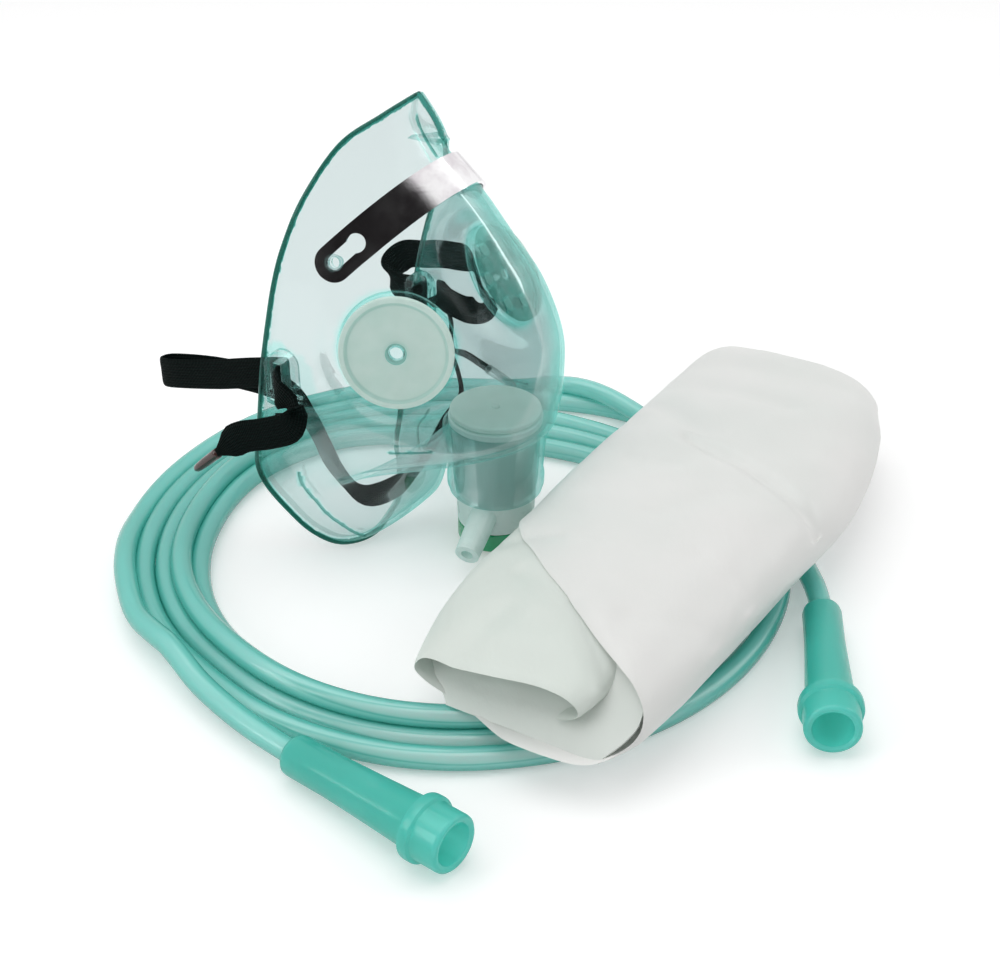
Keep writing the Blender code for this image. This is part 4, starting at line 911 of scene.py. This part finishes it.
def makeMask():
    surface = shellSurface()
    tree = BVHTree.FromBMesh(surface)
    frames = clipFrames(tree)
    heart = Vector((0.015, 0.0, 0.06))
    if sum(face.normal.dot(face.calc_center_median() - heart) for face in surface.faces) < 0:
        bmesh.ops.reverse_faces(surface, faces=surface.faces)
    bmesh.ops.solidify(surface, geom=surface.faces[:], thickness=mask["wall"] * mm)
    shell = meshObject("maskShell", surface)

    last, steps = len(mask["stations"]) - 1, mask["rimSteps"]
    rimLine = [stationAt(last * step / steps)[1] for step in range(steps)]
    rimLine += [stationAt(last * step / steps)[2] for step in range(steps, 0, -1)]
    joinTo(shell, tubeAlong(rimLine, mask["rimDiameter"] / 2, 16, cyclic=True))
    beadRoutes = [beadRoute(row) for row in mask["beads"]]
    for route in beadRoutes:
        joinTo(shell, tubeAlong(route, mask["beadRadius"], 8))

    gap, wall = neck["gap"], neck["wall"]
    low = portRadius(neck["bottom"]) + gap + wall
    high = portRadius(neck["top"]) + gap + wall
    axis = Matrix.Translation(Vector((neck["forward"], neck["left"], 0.0)) * mm)
    top, bottom = neck["top"], neck["bottom"]
    outer = [
        (0.0, bottom), (low - 0.4, bottom), (low, bottom + 0.5), (low, bottom + 1.2), (low + 0.5, bottom + 2.2),
        (low + 0.5, bottom + 4.6), (low + 0.1, bottom + 5.6), (high, top - 4.0), (high + 0.5, top - 2.4),
        (high + 0.5, top - 0.8), (high - 0.1, top - 0.2), (high - 0.5, top), (0.0, top),
    ]
    joinTo(shell, spun(outer, 72, axis))
    for side in ("right", "left"):
        center, normal = valve[side]
        place = facing(center, normal)
        radius, proud = valve["seatRadius"], valve["seatProud"]
        back = -mask["wall"] - 0.5
        disc = [
            (0.0, back), (radius - 0.5, back), (radius, back + 0.5), (radius, proud - 0.4),
            (radius - 0.12, proud - 0.12), (radius - 0.4, proud), (0.0, proud),
        ]
        joinTo(shell, spun(disc, 72, place))
        shaft, thin, head = proud + 0.6 + valve["thickness"], valve["studRadius"], valve["headRadius"]
        stud = [
            (0.0, 0.0), (thin, 0.0), (thin, shaft), (head, shaft), (head, shaft + 0.45),
            (head * 0.9, shaft + 0.8), (head * 0.65, shaft + 1.05), (0.0, shaft + 1.15),
        ]
        joinTo(shell, spun(stud, 32, place))
        way = 1 if side == "left" else -1
        start = Vector((lug["forward"], way * 60.0, lug[side]))
        center, _ = hitFrom(tree, start, Vector((0.0, -way, 0.0)))
        lug[side + "Center"] = center
        joinTo(shell, lugBlock(center, way))
        base, _, out, _, _ = min(frames, key=lambda item: (item[0] - clip[side]).length)
        shaft, thin, head = clip["thickness"] + 0.3, clip["studRadius"], clip["headRadius"]
        stud = [
            (0.0, -3.0), (thin, -3.0), (thin, shaft), (head, shaft), (head, shaft + 0.35),
            (head * 0.75, shaft + 0.85), (0.0, shaft + 1.1),
        ]
        joinTo(shell, spun(stud, 28, facing(base, out)))
    bore = [(0.0, bottom - 12), (portRadius(bottom - 12) + gap, bottom - 12)]
    bore += [(portRadius(top + 12) + gap, top + 12), (0.0, top + 12)]
    joinTo(shell, spun(bore, 72, axis), "DIFFERENCE")
    for side in ("right", "left"):
        center, normal = valve[side]
        place = facing(center, normal)
        for number in range(valve["holes"]):
            angle = fullTurn * (number + 0.5) / valve["holes"]
            spot = Vector((math.cos(angle), math.sin(angle), 0.0)) * valve["holeCircle"]
            ends = [place @ ((spot + Vector((0.0, 0.0, away))) * mm) / mm for away in (-6, 6)]
            joinTo(shell, bar(*ends, valve["holeRadius"]), "DIFFERENCE")
        block = bmesh.new()
        bmesh.ops.create_cube(block, size=1.0)
        size = Matrix.Diagonal((*(part * mm for part in lug["slot"]), 1.0))
        block.transform(Matrix.Translation(lug[side + "Center"] * mm) @ size)
        joinTo(shell, block, "DIFFERENCE")

    bm = meshCopy(shell)
    bmesh.ops.dissolve_degenerate(bm, edges=bm.edges, dist=0.004 * mm)
    tint = bm.verts.layers.float.new("deepTint")
    rimTree = treeOf(rimLine)
    beadTree = treeOf([point for route in beadRoutes for point in route])
    for vert in bm.verts:
        vert[tint] = deepAt(vert.co / mm, rimTree, beadTree)
    bm.transform(maskFrame)
    shown = showMesh("maskShell", bm, finishes["vinyl"], 32.0, ("mask_shell",))
    print("mask shell,", len(shown.data.polygons), "faces")
    return frames


def makeClip(frames):
    last = len(frames) - 1
    bm = grid(12, last)
    for vert in bm.verts:
        index = min(last, max(0, round((vert.co.y + 1) / 2 * last)))
        base, _, out, across, width = frames[index]
        vert.co = (base + across * (vert.co.x * width)) * mm
    wanted = sum((row[2] for row in frames), Vector())
    bmesh.ops.recalc_face_normals(bm, faces=bm.faces)
    if sum((face.normal for face in bm.faces), Vector()).dot(wanted) > 0:
        bmesh.ops.reverse_faces(bm, faces=bm.faces)
    bmesh.ops.solidify(bm, geom=bm.faces[:], thickness=clip["thickness"] * mm)
    strip = meshObject("noseClip", bm)
    seat = clip["studRadius"] + 0.35
    hole = clip["headRadius"] + 0.2
    for end in (clip["right"], clip["left"]):
        base, along, out, across, _ = min(frames, key=lambda item: (item[0] - end).length)
        inward = along if (clip["top"] - end).dot(along) > 0 else -along
        opening = math.asin(seat / hole)
        outline = []
        for step in range(17):
            angle = math.radians(90 + 180 * step / 16)
            outline.append((seat * math.cos(angle), seat * math.sin(angle)))
        for step in range(25):
            angle = -math.pi + opening + 2 * (math.pi - opening) * step / 24
            outline.append((clip["reach"] + hole * math.cos(angle), hole * math.sin(angle)))
        cutter = bmesh.new()
        flat = [cutter.verts.new((base + inward * x + across * y - out * 5) * mm) for x, y in outline]
        cutter.faces.new(flat)
        raised(cutter, out * 10 * mm)
        joinTo(strip, cutter, "DIFFERENCE")
    bm = meshCopy(strip)
    bm.transform(maskFrame)
    softenEdges(showMesh("noseClip", bm, finishes["metal"], 30.0, ("nose_clip",)), 0.16)
    print("nose clip bent")


# valve discs and the parts in the neck

inlet = {"above": 2.2, "radius": 11.3, "thickness": 1.3}


def makeValves():
    radius = valve["radius"]
    base = valve["seatProud"] + 0.3
    top = base + valve["thickness"]
    hole = valve["studRadius"] + 0.3
    profile = [
        (hole, base), (radius - 0.25, base), (radius - 0.06, base + 0.08), (radius, base + 0.25),
        (radius, top + 0.3), (radius - 0.06, top + 0.44), (radius - 0.25, top + 0.5),
        (radius - 1.15, top + 0.5), (radius - 1.36, top + 0.42), (radius - 1.5, top + 0.2),
        (radius - 1.8, top - 0.14), (radius - 2.2, top - 0.2), (hole + 2.6, top - 0.2),
        (hole + 1.6, top - 0.05), (hole + 0.2, top), (hole, top - 0.1),
    ]
    for side in ("right", "left"):
        center, normal = valve[side]
        bm = spun(profile, 96, ring=True)
        tint = bm.verts.layers.float.new("deepTint")
        # painted shade: a dark teal ring along the groove near the disc's edge
        for vert in bm.verts:
            away = vert.co.xy.length / mm
            vert[tint] = 0.5 if radius - 1.9 < away < radius - 1.3 else 0.0
        bm.transform(maskFrame @ facing(center, normal))
        replaced = (f"exhalation_valve_{side}",)
        showMesh(f"exhalationDisc_{side}", bm, finishes["silicone"], 50.0, replaced)
    base = neck["top"] + inlet["above"]
    radius = inlet["radius"]
    top = base + inlet["thickness"]
    disc = [
        (0.0, base), (radius - 0.3, base), (radius, base + 0.3), (radius, top - 0.4),
        (radius - 0.12, top - 0.12), (radius - 0.4, top), (radius - 1.3, top - 0.05), (radius - 1.6, top - 0.2),
        (2.6, top - 0.2), (1.9, top - 0.05), (1.1, top), (1.0, top + 0.3), (0.8, top + 0.52), (0.0, top + 0.6),
    ]
    place = maskFrame @ facing((neck["forward"], neck["left"], 0.0), (0.0, 0.0, 1.0))
    bm = spun(disc, 96, place)
    showMesh("inletDisc", bm, finishes["silicone"], 50.0, ("inlet_valve_disc",))
    print("valve discs made")


def refined(node, name, surface, bevel, angle=38.0):
    # the CAD node's own shape, closed up and with rounded edges
    bm = bmesh.new()
    bm.from_mesh(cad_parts[node].data)
    bmesh.ops.remove_doubles(bm, verts=bm.verts, dist=0.003 * mm)
    bmesh.ops.dissolve_limit(bm, angle_limit=math.radians(0.6), verts=bm.verts, edges=bm.edges)
    bmesh.ops.recalc_face_normals(bm, faces=bm.faces)
    softenEdges(showMesh(name, bm, surface, angle, (node,)), bevel, angle)


# elastic strap

strap = {
    "width": 8.0, "thickness": 1.1, "spacing": 1.2, "around": 28,
    # half width and half thickness where it enters a tip, and how far from there it is at its full size
    "endHalf": (1.05, 0.95), "taper": 7.0,
    # a tip's radius and height from where it starts
    "tip": (
        (0.0, -0.9), (1.0, -0.9), (1.3, -0.6), (1.34, 0.3), (1.3, 1.0), (1.26, 4.5), (1.12, 7.4), (0.95, 8.6),
        (0.6, 9.3), (0.0, 9.6),
    ),
    # from the right tip to the left tip in the mask's frame: forward, left, up, and the way its width lies
    "route": (
        (-15.5, -39.0, 30.5, 0.5, 0.1, 0.85), (-8.5, -38.5, 36.5, 0.45, 0.1, 0.9),
        (-1.0, -38.0, 39.5, 0.2, 0.1, 1.0), (5.5, -37.6, 43.0, -0.3, 0.0, 1.0),
        (6.2, -37.2, 48.0, -0.25, 0.0, 1.0), (2.6, -36.6, 51.3, 0.0, 0.0, 1.0),
        (0.2, -33.4, 51.5, 0.0, 0.0, 1.0), (0.1, -29.0, 51.3, 0.0, 0.0, 1.0),
        (-3.4, -27.0, 50.0, 0.0, 0.0, 1.0), (-12.0, -26.4, 47.5, 0.0, 0.0, 1.0),
        (-26.0, -25.6, 43.0, 0.0, 0.0, 1.0), (-40.0, -25.2, 39.6, 0.0, 0.0, 1.0),
        (-43.4, -23.2, 38.8, 0.0, 0.0, 1.0), (-39.6, -21.2, 39.4, 0.0, 0.0, 1.0),
        (-24.0, -21.4, 42.0, 0.0, 0.0, 1.0), (-8.0, -21.6, 42.0, 0.3, 0.0, 1.0),
        (-2.6, -20.0, 36.0, 0.8, -0.2, 0.5), (0.6, -18.4, 28.0, 1.0, -0.3, 0.2),
        (2.4, -16.4, 20.0, 1.0, -0.3, 0.3), (5.6, -14.0, 13.6, 0.9, -0.3, 0.5),
        (9.8, -10.4, 10.0, 0.5, 0.3, 0.8), (14.0, -4.6, 11.2, 0.3, 0.2, 0.9),
        (16.6, 0.6, 14.4, 0.4, -0.2, 0.9), (19.0, 3.6, 19.6, 0.3, -0.5, 0.8),
        (21.2, 7.4, 26.5, 0.3, -0.6, 0.7), (22.8, 12.6, 31.4, 0.4, -0.74, 0.54),
        (18.2, 19.0, 34.8, 0.4, -0.74, 0.54), (12.6, 23.6, 37.6, 0.4, -0.74, 0.54),
        (7.4, 25.4, 41.2, 0.3, -0.6, 0.7), (2.6, 25.4, 44.8, 0.1, -0.3, 1.0),
        (0.1, 27.0, 46.4, 0.0, 0.0, 1.0), (0.1, 30.2, 46.5, 0.0, 0.0, 1.0),
        (0.0, 33.6, 46.5, 0.0, 0.0, 1.0), (-1.8, 35.6, 46.2, 0.0, 0.0, 1.0),
        (-5.6, 36.2, 45.4, 0.0, 0.0, 1.0), (-9.8, 36.4, 45.2, 0.0, 0.0, 1.0),
        (-13.0, 37.6, 46.6, -0.2, 0.0, 1.0), (-13.4, 39.8, 49.6, -0.3, 0.0, 1.0),
        (-10.2, 41.2, 52.6, -0.3, 0.0, 1.0), (-4.5, 41.6, 53.6, -0.1, 0.0, 1.0),
        (0.5, 41.4, 54.8, 0.0, 0.0, 1.0), (5.8, 40.4, 55.7, 0.0, 0.0, 1.0),
        (10.6, 38.6, 56.6, 0.1, -0.2, 1.0), (13.6, 37.2, 54.6, 0.4, -0.74, 0.54),
        (15.4, 36.6, 50.6, 0.4, -0.74, 0.54), (17.2, 36.2, 47.2, 0.3, -0.4, 0.8),
        (15.6, 36.2, 44.2, 0.0, -0.1, 1.0), (11.6, 36.6, 42.8, 0.0, 0.0, 1.0),
        (7.4, 37.2, 43.0, 0.0, 0.0, 1.0), (3.4, 37.6, 44.0, 0.0, 0.0, 1.0),
        (1.0, 38.8, 44.2, 0.2, -0.1, 1.0), (2.8, 40.0, 40.6, 0.4, -0.6, 0.6),
        (4.4, 39.6, 36.0, 0.4, -0.74, 0.54), (4.8, 38.8, 31.4, 0.4, -0.74, 0.54),
        (6.4, 37.8, 28.8, 0.4, -0.7, 0.4), (11.8, 36.8, 28.6, 0.2, -0.6, 0.6),
        (18.8, 35.0, 27.4, 0.2, -0.6, 0.6),
    ),
}


def strapFrames():
    points = [Vector(row[:3]) for row in strap["route"]]
    ways = [Vector(row[3:]).normalized() for row in strap["route"]]
    length = sum((b - a).length for a, b in zip(points, points[1:]))
    steps = round(length / strap["spacing"])
    at = [(len(points) - 1) * step / steps for step in range(steps + 1)]
    spots = [smoothValue(points, value) for value in at]
    rows = []
    run = 0.0
    for index, spot in enumerate(spots):
        before, after = spots[max(0, index - 1)], spots[min(steps, index + 1)]
        along = (after - before).normalized()
        way = smoothValue(ways, at[index])
        across = (way - along * way.dot(along)).normalized()
        if index:
            run += (spot - spots[index - 1]).length
        rows.append((spot, along, across, along.cross(across), run))
    return rows


def makeStrap():
    rows = strapFrames()
    last = len(rows) - 1
    half, thick = strap["width"] / 2, strap["thickness"] / 2
    endWidth, endDepth = strap["endHalf"]
    bm = grid(strap["around"], last)
    uv = bm.loops.layers.uv.new("strapMap")
    place = {}
    for vert in bm.verts:
        place[vert] = ((vert.co.x + 1) / 2, min(last, round((vert.co.y + 1) / 2 * last)))
    for face in bm.faces:
        for loop in face.loops:
            share, index = place[loop.vert]
            angle = share * fullTurn
            loop[uv].uv = (half * (1 + math.cos(angle)) + (0 if share < 0.5 else 20), rows[index][4])
    for vert, (share, index) in place.items():
        spot, _, across, out, run = rows[index]
        angle = share * fullTurn
        toEnd = min(run, rows[-1][4] - run)
        ease = min(toEnd / strap["taper"], 1.0)
        ease = ease * ease * (3 - 2 * ease)
        width = endWidth + (half - endWidth) * ease
        depth = endDepth + (thick - endDepth) * ease
        side = math.cos(angle)
        flat = math.copysign(min(1.0, (1 - abs(side) ** 6) ** 0.5), math.sin(angle))
        vert.co = (spot + across * (side * width) + out * (flat * depth)) * mm
    bmesh.ops.remove_doubles(bm, verts=bm.verts, dist=0.01 * mm)
    ends = [edge for edge in bm.edges if edge.is_boundary]
    bmesh.ops.holes_fill(bm, edges=ends, sides=0)
    bmesh.ops.recalc_face_normals(bm, faces=bm.faces)
    bm.transform(maskFrame)
    showMesh("elasticStrap", bm, finishes["elastic"], 50.0, ("head_strap",))
    for side, row, turn, surface, slot in (
        ("right", rows[0], -1, "brown", "brown_tip"), ("left", rows[-1], 1, "clear", "clear_tip"),
    ):
        bm = spun(strap["tip"], 28, maskFrame @ facing(row[0] + row[1] * turn * 0.3, row[1] * turn))
        showMesh(f"strapEnd_{side}", bm, finishes[surface], 50.0, (f"strap_tip_{side}",))
    print("strap and tips made")


# folded reservoir bag

bag = {
    "nearEnd": Vector((15.5, -83.5, 10.4)), "turn": math.radians(59.5), "length": 160.0, "height": 17.0,
    "halfWidth": 30.0, "film": 0.55, "rows": 200, "around": 420, "step": 0.7, "edgeTaper": 1.2,
    # tuckShade is the share of painted shade on the tucked film
    "neckWidth": 26.0, "neckFilm": 1.2, "tuckDepth": 18.5, "tuckHeight": 14.4, "tuckShade": 0.75,
    # left and right edge, across from the middle line, and how high it stands, at distances from the near end
    "leftEdge": (
        (0, -27.5), (8, -29.5), (16, -30.8), (32, -31.8), (50, -31.4), (75, -31.2), (110, -30.0), (150, -28.6),
        (160, -26.6),
    ),
    "rightEdge": (
        (0, 19.5), (8, 23.4), (23, 26.2), (46, 28.4), (75, 31.0), (100, 33.2), (122, 31.6), (142, 27.4),
        (160, 21.0),
    ),
    "rise": (
        (0, 0.68), (10, 0.85), (22, 0.98), (60, 1.05), (120, 1.06), (148, 1.02), (156, 0.93), (160, 0.74),
    ),
    # the rolled film seen from its near end: across (-1 to 1), height, and how far back its edge lies
    "roll": (
        (-0.72, 0.6, 66.0), (-0.93, 3.6, 62.0), (-1.015, 9.0, 56.0), (-0.945, 13.3, 50.0),
        (-0.76, 16.0, 43.0), (-0.42, 17.2, 34.0), (-0.10, 17.5, 28.0), (0.06, 17.5, 24.5),
        (0.33, 17.2, 19.0), (0.62, 16.1, 14.5), (0.82, 13.4, 12.0), (0.95, 9.5, 9.5), (0.99, 5.2, 5.5),
        (0.92, 1.6, 1.0), (0.74, 0.2, -1.6), (0.43, 0.0, -2.9), (0.2, 0.0, -2.9), (0.0, 0.1, -2.0),
        (-0.26, 0.5, 0.2), (-0.5, 1.3, 1.8), (-0.7, 2.8, 1.6), (-0.87, 5.2, 1.3), (-0.99, 9.0, 1.4),
        (-0.92, 13.0, 2.0), (-0.74, 15.4, 1.6), (-0.4, 16.7, 1.3), (0.0, 16.8, 1.9), (0.26, 16.3, 2.6),
        (0.44, 15.2, 3.1), (0.56, 13.0, 3.4), (0.57, 10.0, 3.7), (0.48, 7.4, 3.8), (0.36, 6.6, 3.8),
    ),
    # how far across the tucked film reaches at each share of its height
    "tuckLeft": ((0, 0.64), (0.2, 0.80), (0.5, 0.92), (0.8, 0.86), (1, 0.74)),
    "tuckRight": ((0, 0.89), (0.2, 0.935), (0.45, 0.93), (0.7, 0.86), (1, 0.70)),
    # soft creases: start and end (along, across), depth and half width
    "creases": (
        ((98.8, -8.7), (91.5, 12.9), 1.7, 2.6), ((91.5, 12.9), (84.2, 31.0), 1.9, 2.6),
        ((124.6, -13.2), (126.1, 7.1), 0.7, 3.4), ((83.0, -17.0), (84.4, -6.0), 0.6, 2.6),
        ((41.4, -28.6), (46.4, -17.1), 0.7, 2.6), ((46.4, -17.1), (50.1, -7.6), 0.5, 3.0),
        ((31.5, -18.0), (26.3, -3.8), 0.8, 2.6), ((26.3, -3.8), (12.0, 12.0), 1.1, 2.6),
        ((8.0, -29.0), (32.1, -24.4), 0.6, 3.0), ((-2.5, -19.5), (19.8, -14.8), 0.6, 3.4),
        ((53.9, 14.1), (50.2, 29.8), 0.8, 3.6), ((62.6, -2.3), (78.5, 8.2), 0.6, 4.0),
        ((112.0, -24.0), (103.0, -8.0), 0.7, 4.0), ((140.0, -20.0), (146.0, 14.0), 0.6, 5.0),
        ((28.0, 10.0), (36.0, 26.0), 0.7, 3.6),
    ),
}


def alongList(pairs, at):
    # value of a list of (place, value) pairs at a place between them, on a smooth curve
    places = [pair[0] for pair in pairs]
    values = [pair[1] for pair in pairs]
    if at <= places[0]:
        return values[0]
    for index in range(len(places) - 1):
        if at <= places[index + 1]:
            return smoothValue(values, index + (at - places[index]) / (places[index + 1] - places[index]))
    return values[-1]


def creaseDepth(along, across):
    sink = 0.0
    for start, end, depth, width in bag["creases"]:
        line = Vector(end) - Vector(start)
        spot = Vector((along, across)) - Vector(start)
        share = spot.dot(line) / line.length_squared
        if -0.4 < share < 1.4:
            off = (spot - line * clamped(share)).length
            sink = max(sink, depth * math.exp(-((off / width) ** 2)))
    return sink


def sway(*spot):
    return noise.noise(Vector(spot))


def bagWays():
    # directions along the bag and across it
    along = Vector((math.cos(bag["turn"]), math.sin(bag["turn"]), 0.0))
    return along, Vector((math.sin(bag["turn"]), -math.cos(bag["turn"]), 0.0))


def makeBag():
    line = [Vector((across * bag["halfWidth"], height, shift)) for across, height, shift in bag["roll"]]
    film = evenRoute(line, bag["step"])
    last = len(film) - 1
    sides = []
    for index in range(last + 1):
        step = film[min(last, index + 2)] - film[max(0, index - 2)]
        sides.append(Vector((-step.y, step.x, 0.0)).normalized())
    along, across = bagWays()
    bm = grid(bag["around"], bag["rows"])
    underShade = bm.verts.layers.float.new("underFilm")
    known = {}
    for vert in bm.verts:
        share = (vert.co.x + 1) / 2
        row = round(vert.co.y, 5)
        # out along the outer face of the film and back along its inner face
        run = min(share, 1 - share) * 2
        at = run * last
        index = min(int(at), last - 1)
        middle = film[index].lerp(film[index + 1], at - index)
        side = sides[index].lerp(sides[index + 1], at - index).normalized()
        length = (row + 1) / 2
        length = length + 0.018 * math.sin(fullTurn * length)
        away = middle.z + (bag["length"] - middle.z) * length
        key = (round(away, 2), row)
        if key not in known:
            known[key] = [alongList(bag[name], away) for name in ("leftEdge", "rightEdge", "rise")]
        left, right, rise = known[key]
        # the film thins out at all its edges
        thick = bag["film"] / 2 * min(1.0, min(run, 1 - run) * last * bag["step"] / bag["edgeTaper"] + 0.2)
        thick *= min(1.0, (1 - abs(row)) * bag["rows"] / 2)
        outward = side * (thick if share < 0.5 else -thick)
        aside = (left + right) / 2 + middle.x / bag["halfWidth"] * (right - left) / 2
        spot = Vector((aside, middle.y * rise))
        puff = middle.y / bag["height"]
        loose = sway(away * 0.028, spot.x * 0.04, 0.4) * 1.5
        fine = sway(away * 0.11, spot.x * 0.09, 4.1) * 0.45
        sink = creaseDepth(away, spot.x) if puff > 0.55 else creaseDepth(away + 20, spot.x * 1.2 + 9) * 0.6
        lift = (loose * 0.7 + fine - sink) * (0.35 + 0.65 * puff)
        flutter = sway(run * 14.0, length * 2.0, 7.7) * max(0.0, 1 - length * 6)
        place = bag["nearEnd"] - setMiddle + along * (away + flutter) + across * (spot.x + outward.x)
        place.z += spot.y + outward.y + lift
        vert.co = place * mm
        # painted shade on the inner film, strongest at the near end
        vert[underShade] = clamped((run - 0.66) / 0.08) * (1 - 0.6 * length)
    bmesh.ops.remove_doubles(bm, verts=bm.verts, dist=0.02 * mm)
    bmesh.ops.recalc_face_normals(bm, faces=bm.faces)
    made = showMesh("reservoirBag", bm, finishes["film"], 60.0, ("reservoir_bag",))
    print("bag rolled,", len(made.data.polygons), "faces")


def makeBagTuck():
    # film tucked into the near end, so that no hollow shows there
    along, across = bagWays()
    bm = grid(90, 30)
    underShade = bm.verts.layers.float.new("underFilm")
    for vert in bm.verts:
        level = (vert.co.y + 1) / 2
        belly = math.sin(math.pi * level)
        side = alongList(bag["tuckRight"] if vert.co.x > 0 else bag["tuckLeft"], level) * vert.co.x
        away = 0.4 + bag["tuckDepth"] * level + 1.6 * sway(side * 2.2, level * 1.6, 3.3) * belly
        left, right, rise = (alongList(bag[name], away) for name in ("leftEdge", "rightEdge", "rise"))
        aside = (left + right) / 2 + side * (right - left) / 2
        spot = bag["nearEnd"] - setMiddle + along * away + across * aside
        loose = sway(away * 0.028, side * 1.1, 0.4) * 1.5 * (0.35 + 0.65 * level)
        spot.z += (0.5 + bag["tuckHeight"] * level ** 0.85) * rise + loose
        vert.co = spot * mm
        # painted shade over the whole tucked film
        vert[underShade] = bag["tuckShade"]
    thickened(bm, bag["film"])
    showMesh("bagTuck", bm, finishes["film"], 60.0)


def makeBagNeck():
    # film between the green collar and the bag
    start = maskFrame @ Vector((neck["forward"] * mm, neck["left"] * mm, 0.0)) / mm
    start.z = 0.0
    along, across = bagWays()
    rim = portRadius(7.0) + 0.3
    reach = (bag["nearEnd"] - setMiddle - start).dot(across) - bag["halfWidth"]
    # distance from the collar's middle, height and share of the full width
    stops = [
        Vector((rim + 0.2, 1.5, 0.55)), Vector((rim + (reach - rim) * 0.5, 3.7, 0.8)),
        Vector((reach - 1.0, 10.9, 1.0)), Vector((reach + 7.0, 12.9, 1.0)),
    ]
    bm = grid(48, 36)
    for vert in bm.verts:
        away, height, width = smoothValue(stops, (vert.co.y + 1) / 2 * 3)
        side = vert.co.x
        pleat = math.sin(side * 17.0) * 0.5 + sway(side * 4, vert.co.y * 2, 0.0) * 0.6
        spot = start + across * away + along * (side * bag["neckWidth"] / 2 * width)
        vert.co = (spot + Vector((0.0, 0.0, height + pleat * 0.7))) * mm
    thickened(bm, bag["neckFilm"])
    showMesh("bagNeck", bm, finishes["film"], 60.0)
    print("bag's tuck and neck made")


# floor, light and background

def lightTheSet():
    floor = meshObject("paleFloor", grid(1, 1, 3.0))
    finish = finishOf("paleFloor")
    seen = finish.larger(finish.isRay("Camera"), finish.isRay("Glossy"))
    seen = finish.larger(seen, finish.isRay("Transmission"))
    matt = finish.plain("Diffuse", (0.86, 0.86, 0.86))
    glow = finish.node("ShaderNodeEmission", None, {"Color": (1.0, 1.0, 1.0, 1.0), "Strength": 0.28})
    both = finish.node("ShaderNodeAddShader", None, {0: matt, 1: glow})
    floor.data.materials.append(finish.done(finish.mixed(seen, matt, both)))

    world = bpy.data.worlds.new("studio")
    world.use_nodes = True
    bpy.context.scene.world = world
    sky = finishOf("studio", world.node_tree)
    glossy = sky.isRay("Glossy")
    way = sky.node("ShaderNodeTexCoord", out="Generated")
    # a dark card behind the camera, for what shines
    card = sky.fade(sky.toward(way, (-0.05, -0.966, 0.25)), 0.58, 0.70)
    seen = sky.larger(sky.isRay("Camera"), glossy)
    strength = 0.50 + seen * 0.50 - card * glossy * 0.985
    lit = sky.node("ShaderNodeBackground", None, {"Color": (1.0, 1.0, 1.0, 1.0), "Strength": strength})
    sky.node("ShaderNodeOutputWorld", None, {"Surface": lit})

    # each lamp's place, what it is turned to, its size in metres and its power
    for name, place, aim, size, power in (
        ("overheadPanel", (-0.15, 0.10, 0.9), (0.0, 0.0, 0.04), 0.9, 3.4),
        ("leftPanel", (-0.9, -0.35, 0.55), (0.0, 0.0, 0.04), 0.5, 2.0),
        ("rightPanel", (0.85, 0.15, 0.6), (0.0, 0.0, 0.04), 0.5, 1.6),
    ):
        panel = bpy.data.lights.new(name, "AREA")
        panel.shape = "SQUARE"
        panel.size = size
        panel.energy = power
        seat = addObject(name, panel)
        seat.location = place
        seat.rotation_euler = (Vector(aim) - Vector(place)).to_track_quat("-Z", "Y").to_euler()
    print("floor and lights set")


placeCamera()
oxygenTubing, tubingPath, tubingLength = makeTubing()
connectorPieces = [makeConnector("left"), makeConnector("right")]
clipRows = makeMask()
makeClip(clipRows)
makeValves()
refined("inlet_connector", "inletConnector", finishes["milky"], 0.25)
refined("bag_collar", "bagCollar", finishes["green"], 0.2)
makeStrap()
makeBag()
makeBagNeck()
makeBagTuck()
lightTheSet()

bpy.context.scene.view_settings.view_transform = "Standard"
